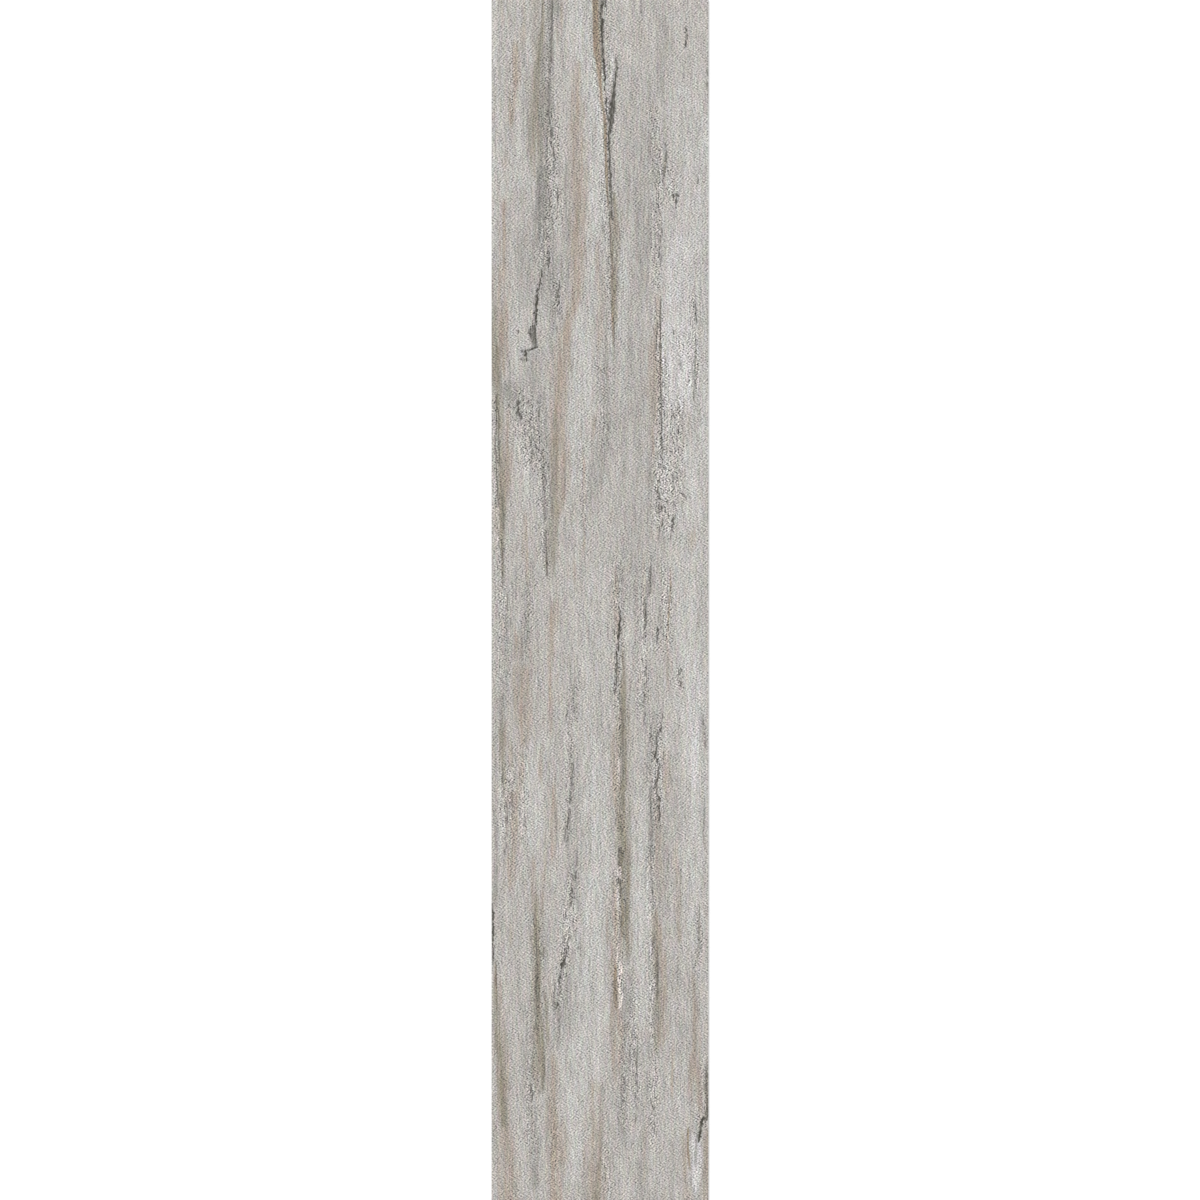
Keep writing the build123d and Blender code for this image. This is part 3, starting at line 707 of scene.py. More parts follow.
HAIRLINE_PATHS = (
    (0.8, ((128.9, 226), (128.6, 240), (128.5, 252), (128.5, 268), (128.7, 282), (129, 298))),
    (0.85, ((129, 296), (129.2, 312), (129.5, 325), (129.7, 337), (130.2, 347))),
    (0.5, ((126.2, 244), (125.7, 256), (125.3, 267))),
    (0.55, ((155.3, 256), (155.5, 268), (155, 276), (154.6, 284), (154.2, 296), (154, 308))),
    (0.6, ((155.2, 233), (155.6, 240), (156, 247))),
    (0.75, ((4, 299), (3.9, 312), (3.6, 325), (3, 335), (3.2, 345), (3.5, 355), (4, 366))),
    (0.85, ((4, 364), (4.5, 374), (4.9, 380), (5.1, 387))),
    (0.5, ((5.2, 314), (5.3, 330), (5.7, 345), (6, 356))),
    (0.7, ((20.4, 303), (20.4, 309), (20.5, 316))),
    (0.5, ((36.1, 308), (36.5, 314), (36.7, 320))),
    (0.4, ((40.6, 314), (40.8, 322), (40.9, 330))),
    (0.45, ((39.7, 346), (40, 360), (40.3, 374), (40.8, 388), (41, 400))),
    (0.6, ((41.1, 400), (41.4, 414), (41.7, 425), (42.1, 433), (42.5, 441))),
    (0.45, ((8, 376), (8.8, 392), (9.6, 405))),
    (0.6, ((7.6, 411), (8.5, 424), (8.8, 432), (8.2, 441), (8.8, 450))),
    (0.35, ((38.5, -12), (38.4, 10), (37.6, 25), (36.6, 38), (35.6, 52))),
    (0.55, ((46.2, -12), (46.2, 8), (45.8, 22), (45.4, 34), (45, 50))),
    (0.5, ((43.8, 60), (43.1, 74), (43.2, 90))),
    (0.4, ((42.3, 93), (42.4, 105), (42.1, 120))),
    (0.6, ((3, 729), (3.4, 741), (3.7, 754))),
    (0.45, ((33.8, 698), (34, 714), (34.4, 730), (34.6, 752))),
    (0.45, ((33.7, 742), (33.8, 764), (33.4, 788))),
    (0.4, ((36.4, 750), (36.2, 764), (36.1, 780))),
    (0.5, ((120.3, 600), (121.2, 612), (121.7, 626))),
    (0.5, ((120.8, 644), (121.6, 660), (122.2, 675), (122.8, 694))),
    (0.4, ((158.4, 686), (158, 700), (158, 711))),
    (0.3, ((157.9, 708), (157.7, 716), (157.3, 732))),
    (0.4, ((126, 718), (126.2, 735), (126.2, 750), (126.5, 762), (127.5, 778))),
    (0.4, ((111, 786), (111.2, 798), (110.8, 808), (110.6, 822))),
    (0.5, ((93.2, 240), (93.4, 254), (93.6, 272))),
    (0.5, ((88, 140), (88.9, 152), (89.8, 162), (90.4, 175), (91.2, 190), (92, 206))),
    (0.8, ((89.4, 98), (89.7, 110), (89.9, 120), (90.1, 132), (90.5, 148))),
    (0.6, ((162.9, 811), (163.1, 822), (163.4, 832), (163.8, 845))),
    (0.22, ((156.4, 848), (156.2, 858), (156, 868), (155.7, 878), (155.6, 892))),
)
HAIRLINE_WIDTH = 0.8
HAIRLINES = tuple(
    (strength, tuple((*place, HAIRLINE_WIDTH) for place in path)) for strength, path in HAIRLINE_PATHS
)

# Each ink of the print: its marks, how soft their sides are as a share of their half width, the length of
# their faded ends, how much they break into threads along the grain, and how much ink strays elsewhere
PRINT_MARKS = {
    "pale": (PALE_BANDS, 0.9, 14, 0.25, 0.0),
    "tan": (TAN_STAINS, 0.7, 10, 0.35, 0.12),
    "olive": (OLIVE_STAINS, 0.75, 9, 0.35, 0.0),
    "grey": (GREY_WEATHER, 0.8, 9, 0.45, 0.35),
    "brown": (BROWN_SLIVERS, 0.35, 4, 0.15, 0.0),
    "chalk": (CHALK_PATCHES, 0.5, 5, 0.2, 0.0),
    "cream": (CREAM_CHIPS, 0.35, 1.5, 0.1, 0.0),
    "shade": (SHADES, 0.7, 5, 0.3, 0.0),
    "grit": (GRIT_PATCHES, 0.9, 10, 0.3, 0.0),
    "worn": (WORN_LANES, 0.9, 14, 0.3, 0.0),
    "hairline": (HAIRLINES, 0.35, 3, 0.1, 0.0),
}
# Blots of the random fields that bend, fray and thread the marks: width and length in millimetres
WANDER_BLOT = (9.0, 70.0)
FRAY_BLOT = (1.5, 26.0)
THREAD_BLOT = (1.8, 45.0)
# How far a mark bends and frays sideways, before its softness, in millimetres
WANDER = 0.6
FRAY = 0.5
# Stray ink shows where frays and threads rise over a level, up to a most
STRAY_GAIN = 0.6
STRAY_LEVEL = 0.7
STRAY_MOST = 1.5
# Points added along a crack: the gaps left at its ends, the step, and the knock sideways, in millimetres
RAGGED_START = 1.2
RAGGED_END = 1.0
RAGGED_STEP = 1.9
RAGGED_KNOCK = 0.25
# Least and most width of an added point, as a share of the crack's
RAGGED_WIDTHS = (0.4, 1.4)
# Millimetres inside a crack's side, for a point that is far from all cracks
FAR_FROM_CRACK = -3.0
# Least drop of a crack's piece, so that a level piece has a direction too
LEAST_DROP = 0.01


def linear(hex_colour):
    """An sRGB hex colour as linear red, green, blue and alpha."""
    channels = [int(hex_colour[start:start + 2], 16) / 255 for start in (1, 3, 5)]
    light = [c / 12.92 if c <= 0.04045 else ((c + 0.055) / 1.055) ** 2.4 for c in channels]
    return (*light, 1.0)


def colour_setting(name, description, hex_colour):
    """A colour that the user may change."""
    return bpy.props.FloatVectorProperty(
        name=name,
        description=description,
        default=linear(hex_colour),
        subtype="COLOR",
        size=4,
        min=0.0,
        max=1.0,
    )


class PlankSizes(bpy.types.PropertyGroup):
    """Depths of the pressed relief and the roll of the rim."""

    rim_radius: bpy.props.FloatProperty(
        name="Rim radius", description="How far the die rolls the face over", default=0.3 * MM, unit="LENGTH"
    )
    crack_depth: bpy.props.FloatProperty(
        name="Crack depth", description="Depth of the widest pressed crack", default=0.35 * MM, unit="LENGTH"
    )
    grain_depth: bpy.props.FloatProperty(
        name="Grain depth", description="Depth of the pressed grain", default=0.1 * MM, unit="LENGTH"
    )


class PlankColours(bpy.types.PropertyGroup):
    """Inks of the print, and the colours of the cut edge and the release paper."""

    ground: colour_setting("Ground", "Whitewashed grey of the plain wood", "#BAB6B1")
    pale: colour_setting("Pale band", "Cool, nearly bare whitewash", "#C6C5C1")
    tan: colour_setting("Tan stain", "Pinkish tan where the wash has worn thin", "#AC9F93")
    olive: colour_setting("Olive stain", "Greenish brown of old damp", "#8F8878")
    grey: colour_setting("Weathered grey", "Darker grey of open, weathered grain", "#918E89")
    brown: colour_setting("Brown sliver", "Bare brown wood at a split", "#918270")
    chalk: colour_setting("Chalk", "Thick white wash", "#D3D1D0")
    cream: colour_setting("Cream chip", "Fresh wood at a chipped edge", "#DED4CF")
    shade: colour_setting("Shade", "Dim hollow beside a crack", "#77736C")
    hairline: colour_setting("Hairline", "Thin, unbroken split along the grain", "#403B30")
    crack: colour_setting("Crack", "Dark bottom of a crack", "#2F2C20")
    core: colour_setting("Cut core", "Limestone-filled core at the cut edge", "#8F8B84")
    paper: colour_setting("Release paper", "Paper over the adhesive", "#D9D3C4")


class PlankStage(bpy.types.PropertyGroup):
    """Floor, light and camera."""

    floor: colour_setting("Floor", "Pale floor", "#EFEFEF")
    room_light: bpy.props.FloatProperty(
        name="Room light",
        description="Even light all round, where 1 is white",
        default=0.62,
        subtype="FACTOR",
        min=0.0,
        max=1.0,
    )
    key_light: bpy.props.FloatProperty(
        name="Key light", description="Strength of the soft light from one side", default=1.5, min=0.0
    )
    lens: bpy.props.FloatProperty(
        name="Lens", description="Focal length of the camera", default=85.0, min=1.0, unit="CAMERA"
    )


def face_net(rim_radius):
    """Millimetres across and along at each point of the face, in rows from the top end."""
    inset = rim_radius / MM
    level = np.linspace(inset, LENGTH_MM - inset, CROWDING_LEVELS)
    crowding = np.full_like(level, 1.0 / PLAIN_ROW_STEP)
    for start, end, step in BUSY_STRETCHES:
        crowding[(level > start) & (level < end)] = 1.0 / step
    rows_so_far = np.cumsum(crowding)
    along = np.interp(np.linspace(rows_so_far[0], rows_so_far[-1], ROWS), rows_so_far, level)
    across = np.linspace(inset, WIDTH_MM - inset, COLUMNS)
    return np.meshgrid(across, along)


def grain_field(draw, wide, long, across, along):
    """A smooth random field with a spread of 1 and blots this wide and long in millimetres."""
    cell_across, cell_along = 0.4, 1.6
    columns, rows = int(WIDTH_MM / cell_across) + 2, int(LENGTH_MM / cell_along) + 2
    waves = np.fft.rfft2(draw.standard_normal((rows, columns)))
    waves_along = np.fft.fftfreq(rows, cell_along)[:, None]
    waves_across = np.fft.rfftfreq(columns, cell_across)[None, :]
    waves *= np.exp(-((waves_across * wide) ** 2) - (waves_along * long) ** 2)
    field = np.fft.irfft2(waves, s=(rows, columns))
    field = (field - field.mean()) / field.std()
    column, row = np.clip(across / cell_across, 0, columns - 2), np.clip(along / cell_along, 0, rows - 2)
    left, upper = column.astype(int), row.astype(int)
    right_share, lower_share = column - left, row - upper
    upper_value = field[upper, left] * (1 - right_share) + field[upper, left + 1] * right_share
    lower_value = field[upper + 1, left] * (1 - right_share) + field[upper + 1, left + 1] * right_share
    return upper_value * (1 - lower_share) + lower_value * lower_share


def smooth_step(value):
    """0 to 1, with level ends."""
    value = np.clip(value, 0.0, 1.0)
    return value * value * (3.0 - 2.0 * value)


def beside_line(line, across, along, fade):
    """Distance across the grain from a mark's middle, its half width, and how far its ends have faded in."""
    points = np.array(line, float)
    middle = np.interp(along, points[:, 1], points[:, 0])
    half_width = np.interp(along, points[:, 1], points[:, 2]) / 2
    start, end = points[0, 1], points[-1, 1]
    ends = min(fade, (end - start) / 2)
    shown = smooth_step((along - start) / ends) * smooth_step((end - along) / ends)
    return across - middle, half_width, shown


def print_amounts(across, along, draw):
    """How much of each print mark there is at each point, from 0 to 1."""
    wander = WANDER * grain_field(draw, *WANDER_BLOT, across, along)
    amounts = {}
    for ink, (marks, softness, fade, threads, stray) in PRINT_MARKS.items():
        fray = grain_field(draw, *FRAY_BLOT, across, along)
        thread = grain_field(draw, *THREAD_BLOT, across, along)
        bare = 1.0 - stray * np.clip(STRAY_GAIN * thread + STRAY_GAIN * fray - STRAY_LEVEL, 0.0, STRAY_MOST)
        # Hairlines lie on the net's points and don't wander
        shifted = across if marks is HAIRLINES else across + wander * softness
        for strength, line in marks:
            aside, half_width, shown = beside_line(line, shifted, along, fade)
            reach = half_width * (1.0 + softness) + FRAY * softness * np.sqrt(half_width) * fray
            inside = smooth_step((reach - np.abs(aside)) / (2.0 * softness * half_width))
            bare *= 1.0 - np.clip(strength * (1.0 + threads * thread), 0.0, 1.0) * inside * shown
        amounts[ink] = 1.0 - bare
    return amounts


def ragged_cracks(draw):
    """The cracks with points added along them, each knocked a little sideways and wider or narrower."""
    cracks = []
    for strength, line in CRACKS:
        points = np.array(line, float)
        levels = np.arange(points[0, 1] + RAGGED_START, points[-1, 1] - RAGGED_END, RAGGED_STEP)
        added = np.column_stack([np.interp(levels, points[:, 1], points[:, 0]), levels])
        added[:, 0] += draw.normal(0.0, RAGGED_KNOCK, len(levels))
        widths = np.interp(levels, points[:, 1], points[:, 2]) * draw.uniform(*RAGGED_WIDTHS, len(levels))
        ragged = np.concatenate([points, np.column_stack([added, widths])])
        cracks.append((strength, ragged[np.argsort(ragged[:, 1], kind="stable")]))
    return cracks


def meet_cracks(across, along, cracks):
    """Slides the nearest points of the net onto the cracks' middles, so that thin cracks stay whole."""
    step = across[0, 1] - across[0, 0]
    first = across[0, 0]
    level = along[:, 0]
    for strength, points in cracks:
        rows = np.flatnonzero((level > points[0, 1]) & (level < points[-1, 1]))
        middle = np.interp(level[rows], points[:, 1], points[:, 0])
        nearest = np.rint((middle - first) / step).astype(int)
        inland = (nearest > 0) & (nearest < COLUMNS - 1)
        across[rows[inland], nearest[inland]] = middle[inland]


def crack_places(across, along, cracks):
    """Where each point lies beside the crack that is nearest to it.

    Gives the millimetres inside its side, negative outside it, those to the right of its middle, and its
    strength.
    """
    inside_here = np.full_like(across, FAR_FROM_CRACK)
    right_here = np.zeros_like(across)
    strength_here = np.zeros_like(across)
    margin = -FAR_FROM_CRACK
    for strength, points in cracks:
        rows = slice(*np.searchsorted(along[:, 0], [points[0, 1] - margin, points[-1, 1] + margin]))
        x, y = across[rows], along[rows]
        inside, right = inside_here[rows], right_here[rows]
        for (x0, y0, w0), (x1, y1, w1) in zip(points[:-1], points[1:]):
            near = (y > y0 - margin) & (y < y1 + margin) & (np.abs(x - (x0 + x1) / 2) < margin + abs(x1 - x0))
            aside, down = x[near] - x0, y[near] - y0
            run, drop = x1 - x0, max(y1 - y0, LEAST_DROP)
            share = np.clip((aside * run + down * drop) / (run * run + drop * drop), 0.0, 1.0)
            distance = np.hypot(aside - share * run, down - share * drop)
            reach = (w0 + share * (w1 - w0)) / 2 - distance
            nearer = reach > inside[near]
            places = tuple(axis[nearer] for axis in np.nonzero(near))
            inside[places] = reach[nearer]
            right[places] = (aside - share * run)[nearer]
            strength_here[rows][places] = strength
    return inside_here, right_here, strength_here


def add_node(tree, kind, inputs=None, output=0, **settings):
    """Adds a node with its settings, links its inputs or sets them to plain values, and gives one output."""
    node = tree.nodes.new(kind)
    for name, value in settings.items():
        setattr(node, name, value)
    for socket, source in (inputs or {}).items():
        if isinstance(source, bpy.types.NodeSocket):
            tree.links.new(source, node.inputs[socket])
        else:
            node.inputs[socket].default_value = source
    return node.outputs[output] if node.outputs else None


def new_material(name):
    """An empty node material and its tree."""
    material = bpy.data.materials.new(name)
    material.use_nodes = True
    material.node_tree.nodes.clear()
    return material, material.node_tree


# Sockets of the colour Mix node, which share names
MIX_SHARE, MIX_UNDER, MIX_OVER, MIX_RESULT = 0, 6, 7, 2

# Grain of the print: the step of its noise across and along in millimetres, its detail, and how far it is
# shifted across and along. The echo and the ripple are the speckle again, shifted and taken away from it,
# which leaves it crisper. The print's own dots are too fine to show, so they are drawn coarser
PRINT_GRAIN = {
    "speckle": (1.2, 0.95, 0.0, (0.0, 0.0)),
    "echo": (1.2, 0.95, 0.0, (1.5, 0.0)),
    "ripple": (1.2, 0.95, 0.0, (0.0, 1.15)),
    "hair": (0.8, 4.5, 0.0, (0.0, 0.0)),
    "fibre": (0.8, 12.0, 1.0, (0.0, 0.0)),
    "curl": (1.9, 2.6, 0.0, (0.0, 0.0)),
    "pit": (0.9, 3.2, 0.0, (0.0, 0.0)),
    "dash": (1.2, 5.0, 1.0, (0.0, 0.0)),
    "kink": (8.0, 1.8, 1.0, (0.0, 0.0)),
}
# How far a grain lightens and darkens the print where it is calm, and how much further where it is worn
GRAIN_TONES = {
    "speckle": (1.32, 1.0),
    "echo": (-0.42, -0.32),
    "ripple": (-0.4, -0.3),
    "hair": (0.38, 0.9),
    "fibre": (0.6, 0.35),
}
# The noise lattice is turned by this angle, so that its rows don't show as a weave
LATTICE_TURN = (0.0, 0.0, 0.6)
# Width and length of the spots where the print's hue wanders, in millimetres, and how far it wanders
HUE_SPOT = (2.6, 14.0)
HUE_SHIFT = 0.19
# Inks in the order in which they lie over the ground
INK_LAYERS = ("pale", "tan", "olive", "grey", "brown", "shade", "chalk", "cream", "hairline")
# Middle of a noise, and how far the pressed grain lightens the print
NOISE_MIDDLE = 0.5
PRESSED_TONE = 0.06
# Spots of the grain: what they follow, from none to full, how far they lighten the print, and where they lie.
# Worn lanes have dark pits and pale flakes. Grit patches have dark curls with pale sides
GRAIN_SPOTS = (
    ("pit", 0.6, 0.78, -0.3, "worn"),
    ("pit", 0.38, 0.22, 0.2, "worn"),
    ("off_curl", 0.06, 0.0, -0.4, "grit"),
    ("curl", 0.6, 0.75, 0.25, "grit"),
)
# The hollow that a crack lies in: millimetres inside the crack where it starts and is full, and its tone
HOLLOW_START = -1.8
HOLLOW_FULL = 0.2
HOLLOW_TONE = -0.16
# How far the grain swings a crack from side to side and frays it, and where its side goes dark
CRACK_SWING = 2.6
CRACK_FRAYS = {"speckle": 1.6, "dash": 2.6}
CRACK_PALE = -0.05
CRACK_DARK = 0.2
# The dashes where a crack's bottom is dark, and where it is dim
DASH_DARK = 0.62
DASH_DIM = 0.2
# Pale flecks along a crack's right side: their strength, and what they follow, from none to full
FLECK_STRENGTH = 0.7
FLECK_BOUNDS = (
    ("crack_inside", -1.5, -0.7),
    ("crack_inside", -0.1, -0.5),
    ("crack_right", 0.0, 0.5),
    ("dash", 0.45, 0.62),
    ("crack_strength", 0.0, 1.0),
)
# Roughness of the matt coat between the fibres and on them, and the height of the fibres in millimetres
COAT_BETWEEN = 0.62
COAT_ON_FIBRE = 0.46
FIBRE_HEIGHT = 0.05


def printed_vinyl(colours):
    """Clear PVC wear layer with a matt urethane coat over a printed film, pressed under an engraved plate.

    The eye sees the print through a low, broad sheen. The print is a whitewashed softwood: grey ground, tan
    and olive stains along the grain, dark cracks, and a fine salt and pepper grain that runs lengthwise.
    """
    material, tree = new_material("printed_pvc_pressed_matt")
    place = add_node(tree, "ShaderNodeTexCoord", output="Object")
    grain = {}
    for name, (wide, long, detail, shift) in PRINT_GRAIN.items():
        move = (shift[0] * MM, shift[1] * MM, 0.0)
        moved = add_node(tree, "ShaderNodeVectorMath", {0: place, 1: move}, operation="ADD")
        turned = {"Vector": moved, "Scale": (1 / (wide * MM), 1 / (long * MM), 1.0), "Rotation": LATTICE_TURN}
        turned = add_node(tree, "ShaderNodeMapping", turned)
        noise = {"Vector": turned, "Scale": 1.0, "Detail": detail}
        grain[name] = add_node(tree, "ShaderNodeTexNoise", noise, "Fac", noise_dimensions="2D")
    amount = {}
    for name in (*PRINT_MARKS, "pressed_grain", "crack_inside", "crack_right", "crack_strength"):
        amount[name] = add_node(tree, "ShaderNodeAttribute", output="Fac", attribute_name=name)

    colour = tuple(colours.ground)
    for ink in INK_LAYERS:
        layer = {MIX_SHARE: amount[ink], MIX_UNDER: colour, MIX_OVER: tuple(getattr(colours, ink))}
        colour = add_node(tree, "ShaderNodeMix", layer, MIX_RESULT, data_type="RGBA")
    wide, long = HUE_SPOT
    spots = {"Vector": place, "Scale": (1 / (wide * MM), 1 / (long * MM), 1.0)}
    spots = add_node(tree, "ShaderNodeMapping", spots)
    hue = {"Vector": spots, "Scale": 1.0}
    hue = add_node(tree, "ShaderNodeTexNoise", hue, "Color", noise_dimensions="2D")
    tint = {0: hue, 1: [HUE_SHIFT] * 3, 2: [1.0 - HUE_SHIFT / 2] * 3}
    tint = add_node(tree, "ShaderNodeVectorMath", tint, operation="MULTIPLY_ADD")
    colour = add_node(tree, "ShaderNodeVectorMath", {0: colour, 1: tint}, operation="MULTIPLY")

    # Light and dark of the grain multiply the inks, more so in worn lanes
    tone = 1.0
    for name, (calm, worn) in GRAIN_TONES.items():
        middle = add_node(tree, "ShaderNodeMath", {0: grain[name], 1: NOISE_MIDDLE}, operation="SUBTRACT")
        gain = {0: amount["worn"], 1: worn, 2: calm}
        gain = add_node(tree, "ShaderNodeMath", gain, operation="MULTIPLY_ADD")
        tone = add_node(tree, "ShaderNodeMath", {0: middle, 1: gain, 2: tone}, operation="MULTIPLY_ADD")
    pressed = {0: amount["pressed_grain"], 1: PRESSED_TONE, 2: tone}
    tone = add_node(tree, "ShaderNodeMath", pressed, operation="MULTIPLY_ADD")
    off_curl = add_node(tree, "ShaderNodeMath", {0: grain["curl"], 1: NOISE_MIDDLE}, operation="SUBTRACT")
    grain["off_curl"] = add_node(tree, "ShaderNodeMath", {0: off_curl}, operation="ABSOLUTE")
    for name, none, full, change, where in GRAIN_SPOTS:
        step = {"Value": grain[name], "From Min": none, "From Max": full, "To Max": change}
        step = add_node(tree, "ShaderNodeMapRange", step, interpolation_type="SMOOTHSTEP")
        spotted = {0: step, 1: amount[where], 2: tone}
        tone = add_node(tree, "ShaderNodeMath", spotted, operation="MULTIPLY_ADD")

    # Cracks lie in a dim hollow. They are dark where a point is inside one, swung from side to side, broken
    # into dashes and frayed by the grain
    strength = amount["crack_strength"]
    hollow = {"Value": amount["crack_inside"]}
    hollow.update({"From Min": HOLLOW_START, "From Max": HOLLOW_FULL, "To Max": HOLLOW_TONE})
    hollow = add_node(tree, "ShaderNodeMapRange", hollow, interpolation_type="SMOOTHSTEP")
    tone = add_node(tree, "ShaderNodeMath", {0: hollow, 1: strength, 2: tone}, operation="MULTIPLY_ADD")
    grained = add_node(tree, "ShaderNodeVectorMath", {0: colour, "Scale": tone}, operation="SCALE")
    beside = add_node(tree, "ShaderNodeMath", {0: amount["crack_right"]}, operation="ABSOLUTE")
    half_width = add_node(tree, "ShaderNodeMath", {0: amount["crack_inside"], 1: beside}, operation="ADD")
    swing = add_node(tree, "ShaderNodeMath", {0: grain["kink"], 1: NOISE_MIDDLE}, operation="SUBTRACT")
    swung = {0: swing, 1: CRACK_SWING, 2: amount["crack_right"]}
    swung = add_node(tree, "ShaderNodeMath", swung, operation="MULTIPLY_ADD")
    swung = add_node(tree, "ShaderNodeMath", {0: swung}, operation="ABSOLUTE")
    frayed = add_node(tree, "ShaderNodeMath", {0: half_width, 1: swung}, operation="SUBTRACT")
    for name, reach in CRACK_FRAYS.items():
        middle = add_node(tree, "ShaderNodeMath", {0: grain[name], 1: NOISE_MIDDLE}, operation="SUBTRACT")
        frayed = add_node(tree, "ShaderNodeMath", {0: middle, 1: reach, 2: frayed}, operation="MULTIPLY_ADD")
    dark = {"Value": frayed, "From Min": CRACK_PALE, "From Max": CRACK_DARK}
    dark = add_node(tree, "ShaderNodeMapRange", dark, interpolation_type="SMOOTHSTEP")
    dark = add_node(tree, "ShaderNodeMath", {0: dark, 1: strength}, operation="MULTIPLY")

    pale = FLECK_STRENGTH
    followed = {**grain, **amount}
    for name, none, full in FLECK_BOUNDS:
        step = {"Value": followed[name], "From Min": none, "From Max": full}
        step = add_node(tree, "ShaderNodeMapRange", step, interpolation_type="SMOOTHSTEP")
        pale = add_node(tree, "ShaderNodeMath", {0: pale, 1: step}, operation="MULTIPLY")
    flecks = {MIX_SHARE: pale, MIX_UNDER: grained, MIX_OVER: tuple(colours.chalk)}
    flecked = add_node(tree, "ShaderNodeMix", flecks, MIX_RESULT, data_type="RGBA")
    dim = {"Value": grain["dash"], "From Min": DASH_DARK, "From Max": DASH_DIM}
    dim = add_node(tree, "ShaderNodeMapRange", dim, interpolation_type="SMOOTHSTEP")
    bottom = {MIX_SHARE: dim, MIX_UNDER: tuple(colours.crack), MIX_OVER: tuple(colours.shade)}
    bottom = add_node(tree, "ShaderNodeMix", bottom, MIX_RESULT, data_type="RGBA")
    cracked = {MIX_SHARE: dark, MIX_UNDER: flecked, MIX_OVER: bottom}
    cracked = add_node(tree, "ShaderNodeMix", cracked, MIX_RESULT, data_type="RGBA")

    # Urethane on PVC has an index near 1.5, and the press plate leaves the matt coat rougher in the grain
    rough = {"Value": grain["fibre"], "To Min": COAT_BETWEEN, "To Max": COAT_ON_FIBRE}
    rough = add_node(tree, "ShaderNodeMapRange", rough)
    height = add_node(tree, "ShaderNodeMath", {0: grain["fibre"], 1: grain["hair"]}, operation="ADD")
    bump = {"Height": height, "Strength": 0.25, "Distance": FIBRE_HEIGHT * MM}
    bump = add_node(tree, "ShaderNodeBump", bump)
    surface = {"Base Color": cracked, "Roughness": rough, "IOR": 1.5, "Normal": bump}
    surface = add_node(tree, "ShaderNodeBsdfPrincipled", surface)
    add_node(tree, "ShaderNodeOutputMaterial", {"Surface": surface})
    return material


# Sizes of the filler's grains, the shear lines and the clouds of paper fibre, in millimetres. Ground
# limestone is too fine to show, so its grains are drawn coarser
FILLER_GRAIN = 0.7
SHEAR_LINE = 0.5
PAPER_CLOUD = 6.0
# Shear lines run upright, so their noise is drawn out along Z
SHEAR_STRETCH = (1.0, 1.0, 0.1)
# Darkest and palest tone of the filler's grains and of the paper's clouds
FILLER_TONES = (0.78, 1.2)
CLOUD_TONES = (0.9, 1.06)
# Height of the shear lines, in millimetres
SHEAR_HEIGHT = 0.05


def cut_core(colours):
    """Limestone-filled PVC, sheared by the die.

    The eye sees a dull grey edge with pale grains of filler and upright shear lines.
    """
    material, tree = new_material("filled_pvc_die_cut")
    place = add_node(tree, "ShaderNodeTexCoord", output="Object")
    grains = add_node(tree, "ShaderNodeTexNoise", {"Vector": place, "Scale": 1 / (FILLER_GRAIN * MM)}, "Fac")
    darkest, palest = FILLER_TONES
    tone = add_node(tree, "ShaderNodeMapRange", {"Value": grains, "To Min": darkest, "To Max": palest})
    core = {0: tuple(colours.core)[:3], "Scale": tone}
    speckled = add_node(tree, "ShaderNodeVectorMath", core, operation="SCALE")
    upright = add_node(tree, "ShaderNodeVectorMath", {0: place, 1: SHEAR_STRETCH}, operation="MULTIPLY")
    lines = {"Vector": upright, "Scale": 1 / (SHEAR_LINE * MM), "Detail": 1.0}
    shear = add_node(tree, "ShaderNodeTexNoise", lines, "Fac")
    bump = {"Height": shear, "Strength": 0.4, "Distance": SHEAR_HEIGHT * MM}
    bump = add_node(tree, "ShaderNodeBump", bump)
    surface = {"Base Color": speckled, "Roughness": 0.7, "IOR": 1.53, "Normal": bump}
    surface = add_node(tree, "ShaderNodeBsdfPrincipled", surface)
    add_node(tree, "ShaderNodeOutputMaterial", {"Surface": surface})
    return material


def release_paper(colours):
    """Silicone-coated kraft paper, calendered.

    The eye sees an even ivory sheet with a soft shine and faint clouds of fibre.
    """
    material, tree = new_material("silicone_paper_calendered")
    place = add_node(tree, "ShaderNodeTexCoord", output="Object")
    fibre = {"Vector": place, "Scale": 1 / (PAPER_CLOUD * MM), "Detail": 4.0}
    clouds = add_node(tree, "ShaderNodeTexNoise", fibre, "Fac")
    darkest, palest = CLOUD_TONES
    tone = add_node(tree, "ShaderNodeMapRange", {"Value": clouds, "To Min": darkest, "To Max": palest})
    paper = {0: tuple(colours.paper)[:3], "Scale": tone}
    clouded = add_node(tree, "ShaderNodeVectorMath", paper, operation="SCALE")
    surface = {"Base Color": clouded, "Roughness": 0.4, "IOR": 1.45}
    surface = add_node(tree, "ShaderNodeBsdfPrincipled", surface)
    add_node(tree, "ShaderNodeOutputMaterial", {"Surface": surface})
    return material


# Pressed grain: width and length of its fine and broad blots in millimetres, and the share of each
FINE_BLOT = (1.4, 20.0)
BROAD_BLOT = (5.0, 90.0)
FINE_SHARE = 0.7
BROAD_SHARE = 0.6
# Millimetres from the rim over which the relief comes in
RELIEF_RUN = 1.5
# Millimetres outside a crack's side where its groove starts, and the run over which it goes to full depth
GROOVE_OUTSIDE = 0.4
GROOVE_RUN = 1.4
# Depth of a hairline as a share of a crack's, and the grain's middle depth, its swing and its gain where worn
HAIRLINE_DEPTH = 0.4
GRAIN_MIDDLE = 0.45
GRAIN_SWING = 0.3
WORN_GAIN = 0.5


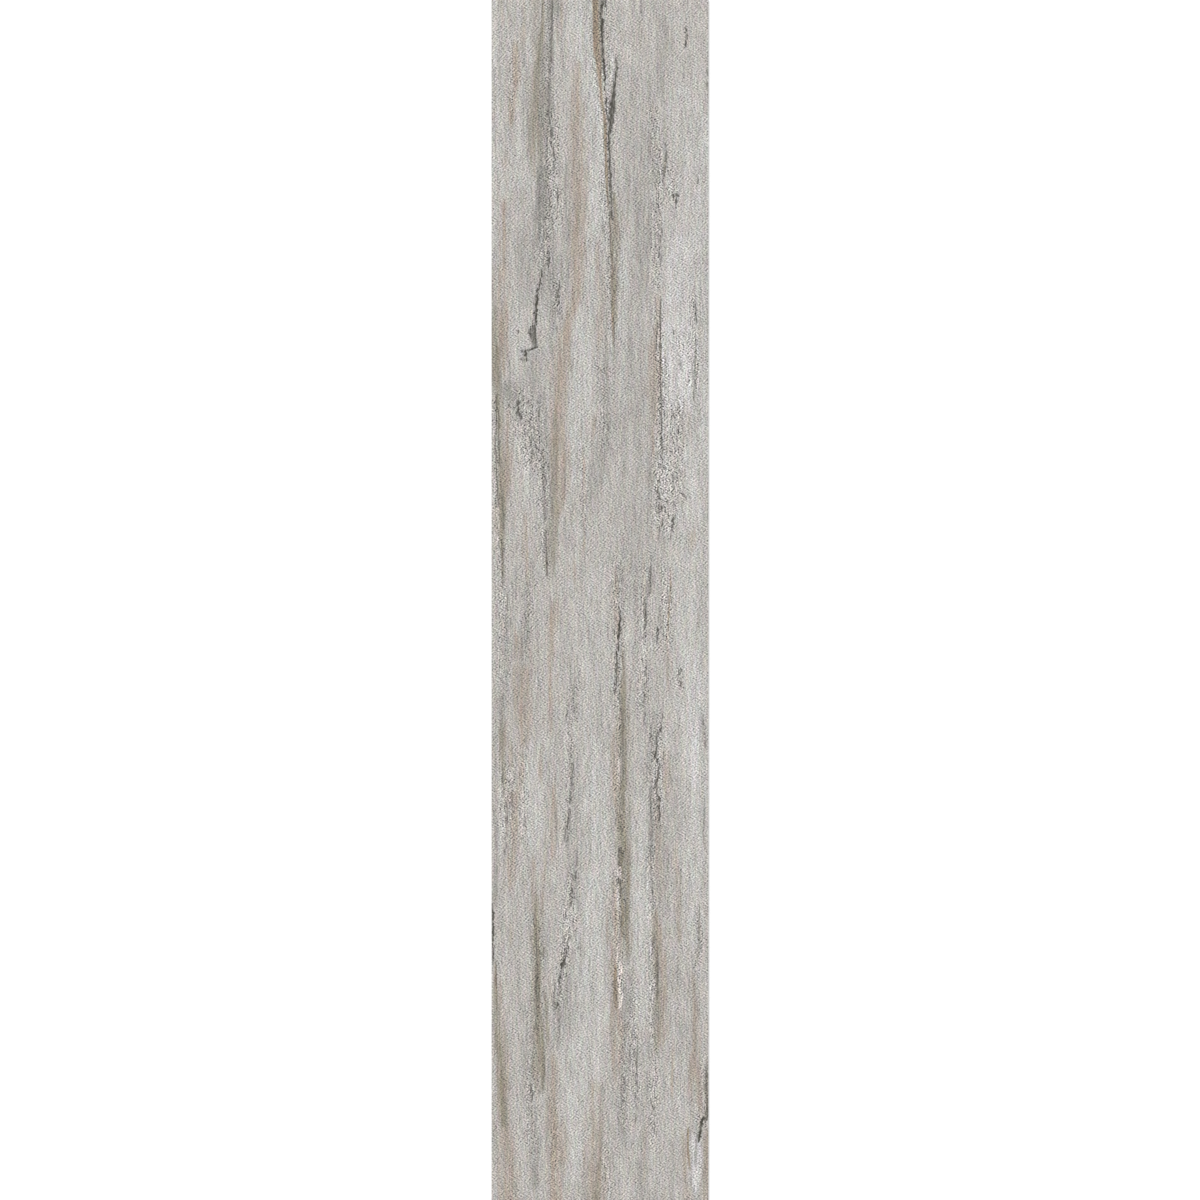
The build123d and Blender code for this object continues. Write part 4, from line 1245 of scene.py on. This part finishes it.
def pressed_face(sizes):
    """The face's points in metres and the print amounts at each, row by row from the top end."""
    draw = np.random.default_rng(SEED)
    across, along = face_net(sizes.rim_radius)
    cracks = ragged_cracks(draw)
    meet_cracks(across, along, cracks)
    meet_cracks(across, along, [(strength, np.array(line, float)) for strength, line in HAIRLINES])
    amounts = print_amounts(across, along, draw)
    inside, right, strength = crack_places(across, along, cracks)
    fine = grain_field(draw, *FINE_BLOT, across, along)
    broad = grain_field(draw, *BROAD_BLOT, across, along)
    pressed = FINE_SHARE * fine + BROAD_SHARE * broad
    amounts["pressed_grain"] = pressed
    amounts["crack_inside"] = inside
    amounts["crack_right"] = right
    amounts["crack_strength"] = strength

    to_edge = np.minimum.reduce([across, WIDTH_MM - across, along, LENGTH_MM - along])
    inland = smooth_step((to_edge - sizes.rim_radius / MM) / RELIEF_RUN)
    groove = smooth_step((inside + GROOVE_OUTSIDE) / GROOVE_RUN) * strength
    groove = np.maximum(groove, HAIRLINE_DEPTH * amounts["hairline"])
    grain = np.clip(GRAIN_MIDDLE - GRAIN_SWING * pressed, 0.0, 1.0)
    wear = 1.0 + amounts["grit"] + WORN_GAIN * amounts["worn"]
    depth = inland * (sizes.crack_depth * groove + sizes.grain_depth * grain * wear)
    points = np.empty((ROWS, COLUMNS, 3))
    points[..., 0] = LOW.x + across * MM
    points[..., 1] = HIGH.y - along * MM
    points[..., 2] = HIGH.z - depth
    return points, amounts


def rim_order():
    """Rows and columns of the face's border, clockwise seen from above, from the top left corner."""
    last_row, last_column = ROWS - 1, COLUMNS - 1
    border = [(0, column) for column in range(last_column)]
    border += [(row, last_column) for row in range(last_row)]
    border += [(last_row, column) for column in range(last_column, 0, -1)]
    border += [(row, 0) for row in range(last_row, 0, -1)]
    return np.array(border)


def underside_faces(foot_ring):
    """Faces of the flat underside inside this ring, each from side to side, from the top end down."""
    last_row, last_column = ROWS - 1, COLUMNS - 1
    top_end = foot_ring[:last_column + 1]
    right_side = foot_ring[last_column:last_column + last_row + 1]
    bottom_end = foot_ring[last_column + last_row:2 * last_column + last_row + 1]
    left_side = [foot_ring[0]] + foot_ring[:2 * last_column + last_row - 1:-1]
    faces = [top_end + [right_side[1], left_side[1]]]
    for row in range(1, last_row - 1):
        faces.append([left_side[row], right_side[row], right_side[row + 1], left_side[row + 1]])
    faces.append([left_side[-2], right_side[-2]] + bottom_end)
    return faces


def plank_mesh(sizes):
    """One closed skin: pressed face, rolled rim, upright walls and flat underside."""
    points, amounts = pressed_face(sizes)
    face_count = ROWS * COLUMNS
    number = np.arange(face_count).reshape(ROWS, COLUMNS)
    face_quads = np.stack(
        [number[:-1, :-1], number[1:, :-1], number[1:, 1:], number[:-1, 1:]], axis=-1
    ).reshape(-1, 4)

    border = rim_order()
    start_ring = number[border[:, 0], border[:, 1]]
    ring_size = len(border)
    outward_x = np.where(border[:, 1] == 0, -1.0, np.where(border[:, 1] == COLUMNS - 1, 1.0, 0.0))
    outward_y = np.where(border[:, 0] == 0, 1.0, np.where(border[:, 0] == ROWS - 1, -1.0, 0.0))
    border_points = points.reshape(-1, 3)[start_ring]
    outward = np.column_stack([outward_x, -outward_y])
    sheets = [np.column_stack([points[..., 0].ravel() - LOW.x, HIGH.y - points[..., 1].ravel()]) / MM]
    border_sheet = sheets[0][start_ring]
    rings = []
    for step in range(1, RIM_STEPS + 1):
        turn = math.pi / 2 * step / RIM_STEPS
        ring = border_points.copy()
        ring[:, 0] += outward_x * sizes.rim_radius * math.sin(turn)
        ring[:, 1] += outward_y * sizes.rim_radius * math.sin(turn)
        ring[:, 2] = HIGH.z - sizes.rim_radius * (1.0 - math.cos(turn))
        rings.append(ring)
        sheets.append(border_sheet + step * FLAT_RIM_STEP * outward)
    foot = rings[-1].copy()
    foot[:, 2] = LOW.z
    rings.append(foot)
    sheets.append(sheets[-1] + FLAT_WALL * outward)

    numbers = [start_ring]
    for index in range(len(rings)):
        numbers.append(face_count + index * ring_size + np.arange(ring_size))
    side_quads = []
    for upper, lower in zip(numbers[:-1], numbers[1:]):
        side_quads.append(np.stack([upper, np.roll(upper, -1), np.roll(lower, -1), lower], axis=-1))

    vertices = np.concatenate([points.reshape(-1, 3), *rings])
    printed = [*face_quads.tolist(), *np.concatenate(side_quads[:-CUT_RINGS]).tolist()]
    cut = np.concatenate(side_quads[-CUT_RINGS:]).tolist()
    underside = underside_faces(numbers[-1].tolist())
    mesh = bpy.data.meshes.new("printed_plank")
    mesh.from_pydata(vertices.tolist(), [], printed + cut + underside)
    slots = [PRINT_SLOT] * len(printed) + [CUT_SLOT] * len(cut) + [PAPER_SLOT] * len(underside)
    mesh.polygons.foreach_set("material_index", slots)
    mesh.polygons.foreach_set("use_smooth", [slot == PRINT_SLOT for slot in slots])
    for name, amount in amounts.items():
        values = np.concatenate([amount.ravel(), *[amount[border[:, 0], border[:, 1]]] * len(rings)])
        attribute = mesh.attributes.new(name, "FLOAT", "POINT")
        attribute.data.foreach_set("value", values.astype(np.float32))
    sheet = np.concatenate(sheets)
    lay_flat(mesh, sheet, sheet[number[ROWS // 2, 0], 1], len(underside))
    mesh.update()
    return mesh


def lay_flat(mesh, sheet, cut, underside_count):
    """Lays the skin out flat in its own map.

    The face lies there as an upper and a lower strip side by side, cut across at this millimetre along, each
    with its rim and walls turned out flat, and the underside as a narrow strip beside them.
    """
    corner_point = np.empty(len(mesh.loops), int)
    mesh.loops.foreach_get("vertex_index", corner_point)
    corners = np.empty(len(mesh.polygons), int)
    mesh.polygons.foreach_get("loop_total", corners)
    corner_face = np.repeat(np.arange(len(corners)), corners)
    across, along = sheet[corner_point].T
    middle = np.bincount(corner_face, along) / corners
    lower = middle[corner_face] > cut
    under = corner_face >= len(corners) - underside_count
    strip_across = (across + FLAT_MARGIN) / (WIDTH_MM + 2 * FLAT_MARGIN)
    strip_along = (along - np.where(lower, cut, 0.0) + FLAT_MARGIN) / (LENGTH_MM / 2 + 3 * FLAT_MARGIN)
    under_across = UNDER_STRIP_START + UNDER_STRIP_WIDTH * across / WIDTH_MM
    face_across = FACE_STRIP_WIDTH * (strip_across + lower) + FACE_STRIP_START
    flat = np.empty((len(corner_point), 2))
    flat[:, 0] = np.where(under, under_across, face_across)
    flat[:, 1] = MAP_MARGIN + MAP_HEIGHT * np.where(under, along / LENGTH_MM, strip_along)
    layer = mesh.uv_layers.new(name="OFBake")
    layer.data.foreach_set("uv", flat.ravel())


class PLANK_OT_build(bpy.types.Operator):
    """Press and print the plank, in place of its plain solid"""

    bl_idname = "plank.build"
    bl_label = "Build plank"

    def execute(self, context):
        settings = context.scene
        mesh = plank_mesh(settings.plank_sizes)
        for make in (printed_vinyl, cut_core, release_paper):
            mesh.materials.append(make(settings.plank_colours))
        plank = bpy.data.objects.new("printed_plank", mesh)
        context.scene.collection.objects.link(plank)
        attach(plank, "root")
        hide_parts(NODE)
        return {"FINISHED"}


WHITE = (1.0, 1.0, 1.0, 1.0)
# Metres from the floor's middle to its sides, and how far it glows to the camera
FLOOR_REACH = 6.0
FLOOR_GLOW = 0.3
# Spread and tilt of the key light, in degrees
KEY_SPREAD = 40
KEY_TILT = -32
# Share of the plank's length that the picture takes in
PICTURE_SHARE = 0.999


class PLANK_OT_stage(bpy.types.Operator):
    """Lay the pale floor, set the soft light and hang the camera over the plank"""

    bl_idname = "plank.stage"
    bl_label = "Set stage"

    def execute(self, context):
        stage = context.scene.plank_stage
        self.lay_floor(context, stage)
        self.set_light(context, stage)
        self.hang_camera(context, stage)
        context.scene.view_settings.view_transform = "Standard"
        return {"FINISHED"}

    def seen_directly(self, tree):
        """1 for what the camera sees straight, mirrored or through glass, and 0 for other light."""
        seen = 0.0
        for ray in ("Is Camera Ray", "Is Glossy Ray", "Is Transmission Ray"):
            path = add_node(tree, "ShaderNodeLightPath", output=ray)
            seen = add_node(tree, "ShaderNodeMath", {0: seen, 1: path}, operation="MAXIMUM")
        return seen

    def lay_floor(self, context, stage):
        sides = ((-1, -1), (1, -1), (1, 1), (-1, 1))
        corners = [(x * FLOOR_REACH, y * FLOOR_REACH, LOW.z) for x, y in sides]
        mesh = bpy.data.meshes.new("floor")
        mesh.from_pydata(corners, [], [(0, 1, 2, 3)])
        material, tree = new_material("painted_floor")
        glow = {0: self.seen_directly(tree), 1: FLOOR_GLOW}
        glow = add_node(tree, "ShaderNodeMath", glow, operation="MULTIPLY")
        paint = {"Base Color": stage.floor, "Roughness": 0.9, "Specular IOR Level": 0.0}
        paint.update({"Emission Color": WHITE, "Emission Strength": glow})
        paint = add_node(tree, "ShaderNodeBsdfPrincipled", paint)
        add_node(tree, "ShaderNodeOutputMaterial", {"Surface": paint})
        mesh.materials.append(material)
        floor = bpy.data.objects.new("floor", mesh)
        context.scene.collection.objects.link(floor)

    def set_light(self, context, stage):
        world = bpy.data.worlds.new("studio")
        world.use_nodes = True
        tree = world.node_tree
        tree.nodes.clear()
        strength = {"Value": self.seen_directly(tree), "To Min": stage.room_light, "To Max": 1.0}
        strength = add_node(tree, "ShaderNodeMapRange", strength)
        background = add_node(tree, "ShaderNodeBackground", {"Color": WHITE, "Strength": strength})
        add_node(tree, "ShaderNodeOutputWorld", {"Surface": background})
        context.scene.world = world
        lamp = bpy.data.lights.new("key", "SUN")
        lamp.energy = stage.key_light
        lamp.angle = math.radians(KEY_SPREAD)
        key = bpy.data.objects.new("key", lamp)
        key.rotation_euler = (math.radians(KEY_TILT), math.radians(KEY_TILT), 0.0)
        context.scene.collection.objects.link(key)

    def hang_camera(self, context, stage):
        lens = bpy.data.cameras.new("camera")
        lens.lens = stage.lens
        camera = bpy.data.objects.new("camera", lens)
        # The plank's length just overfills the square picture, as if it ran from edge to edge
        distance = PICTURE_SHARE * LENGTH * lens.lens / lens.sensor_width
        camera.location = ((LOW.x + HIGH.x) / 2, (LOW.y + HIGH.y) / 2, HIGH.z + distance)
        context.scene.collection.objects.link(camera)
        context.scene.camera = camera


class PLANK_PT_sidebar(bpy.types.Panel):
    """Sizes and colours of the plank, and the steps that make it"""

    bl_label = "Vinyl plank"
    bl_idname = "PLANK_PT_sidebar"
    bl_space_type = "VIEW_3D"
    bl_region_type = "UI"
    bl_category = "Plank"

    def draw(self, context):
        for group in (context.scene.plank_sizes, context.scene.plank_colours, context.scene.plank_stage):
            box = self.layout.box()
            for name in group.__annotations__:
                box.prop(group, name)
        self.layout.operator(PLANK_OT_build.bl_idname)
        self.layout.operator(PLANK_OT_stage.bl_idname)


CLASSES = (PlankSizes, PlankColours, PlankStage, PLANK_OT_build, PLANK_OT_stage, PLANK_PT_sidebar)


def register():
    for each in CLASSES:
        bpy.utils.register_class(each)
    bpy.types.Scene.plank_sizes = bpy.props.PointerProperty(type=PlankSizes)
    bpy.types.Scene.plank_colours = bpy.props.PointerProperty(type=PlankColours)
    bpy.types.Scene.plank_stage = bpy.props.PointerProperty(type=PlankStage)


def unregister():
    del bpy.types.Scene.plank_stage
    del bpy.types.Scene.plank_colours
    del bpy.types.Scene.plank_sizes
    for each in reversed(CLASSES):
        bpy.utils.unregister_class(each)


def main():
    register()
    bpy.ops.plank.stage()
    bpy.ops.plank.build()


if __name__ == "__main__":
    main()
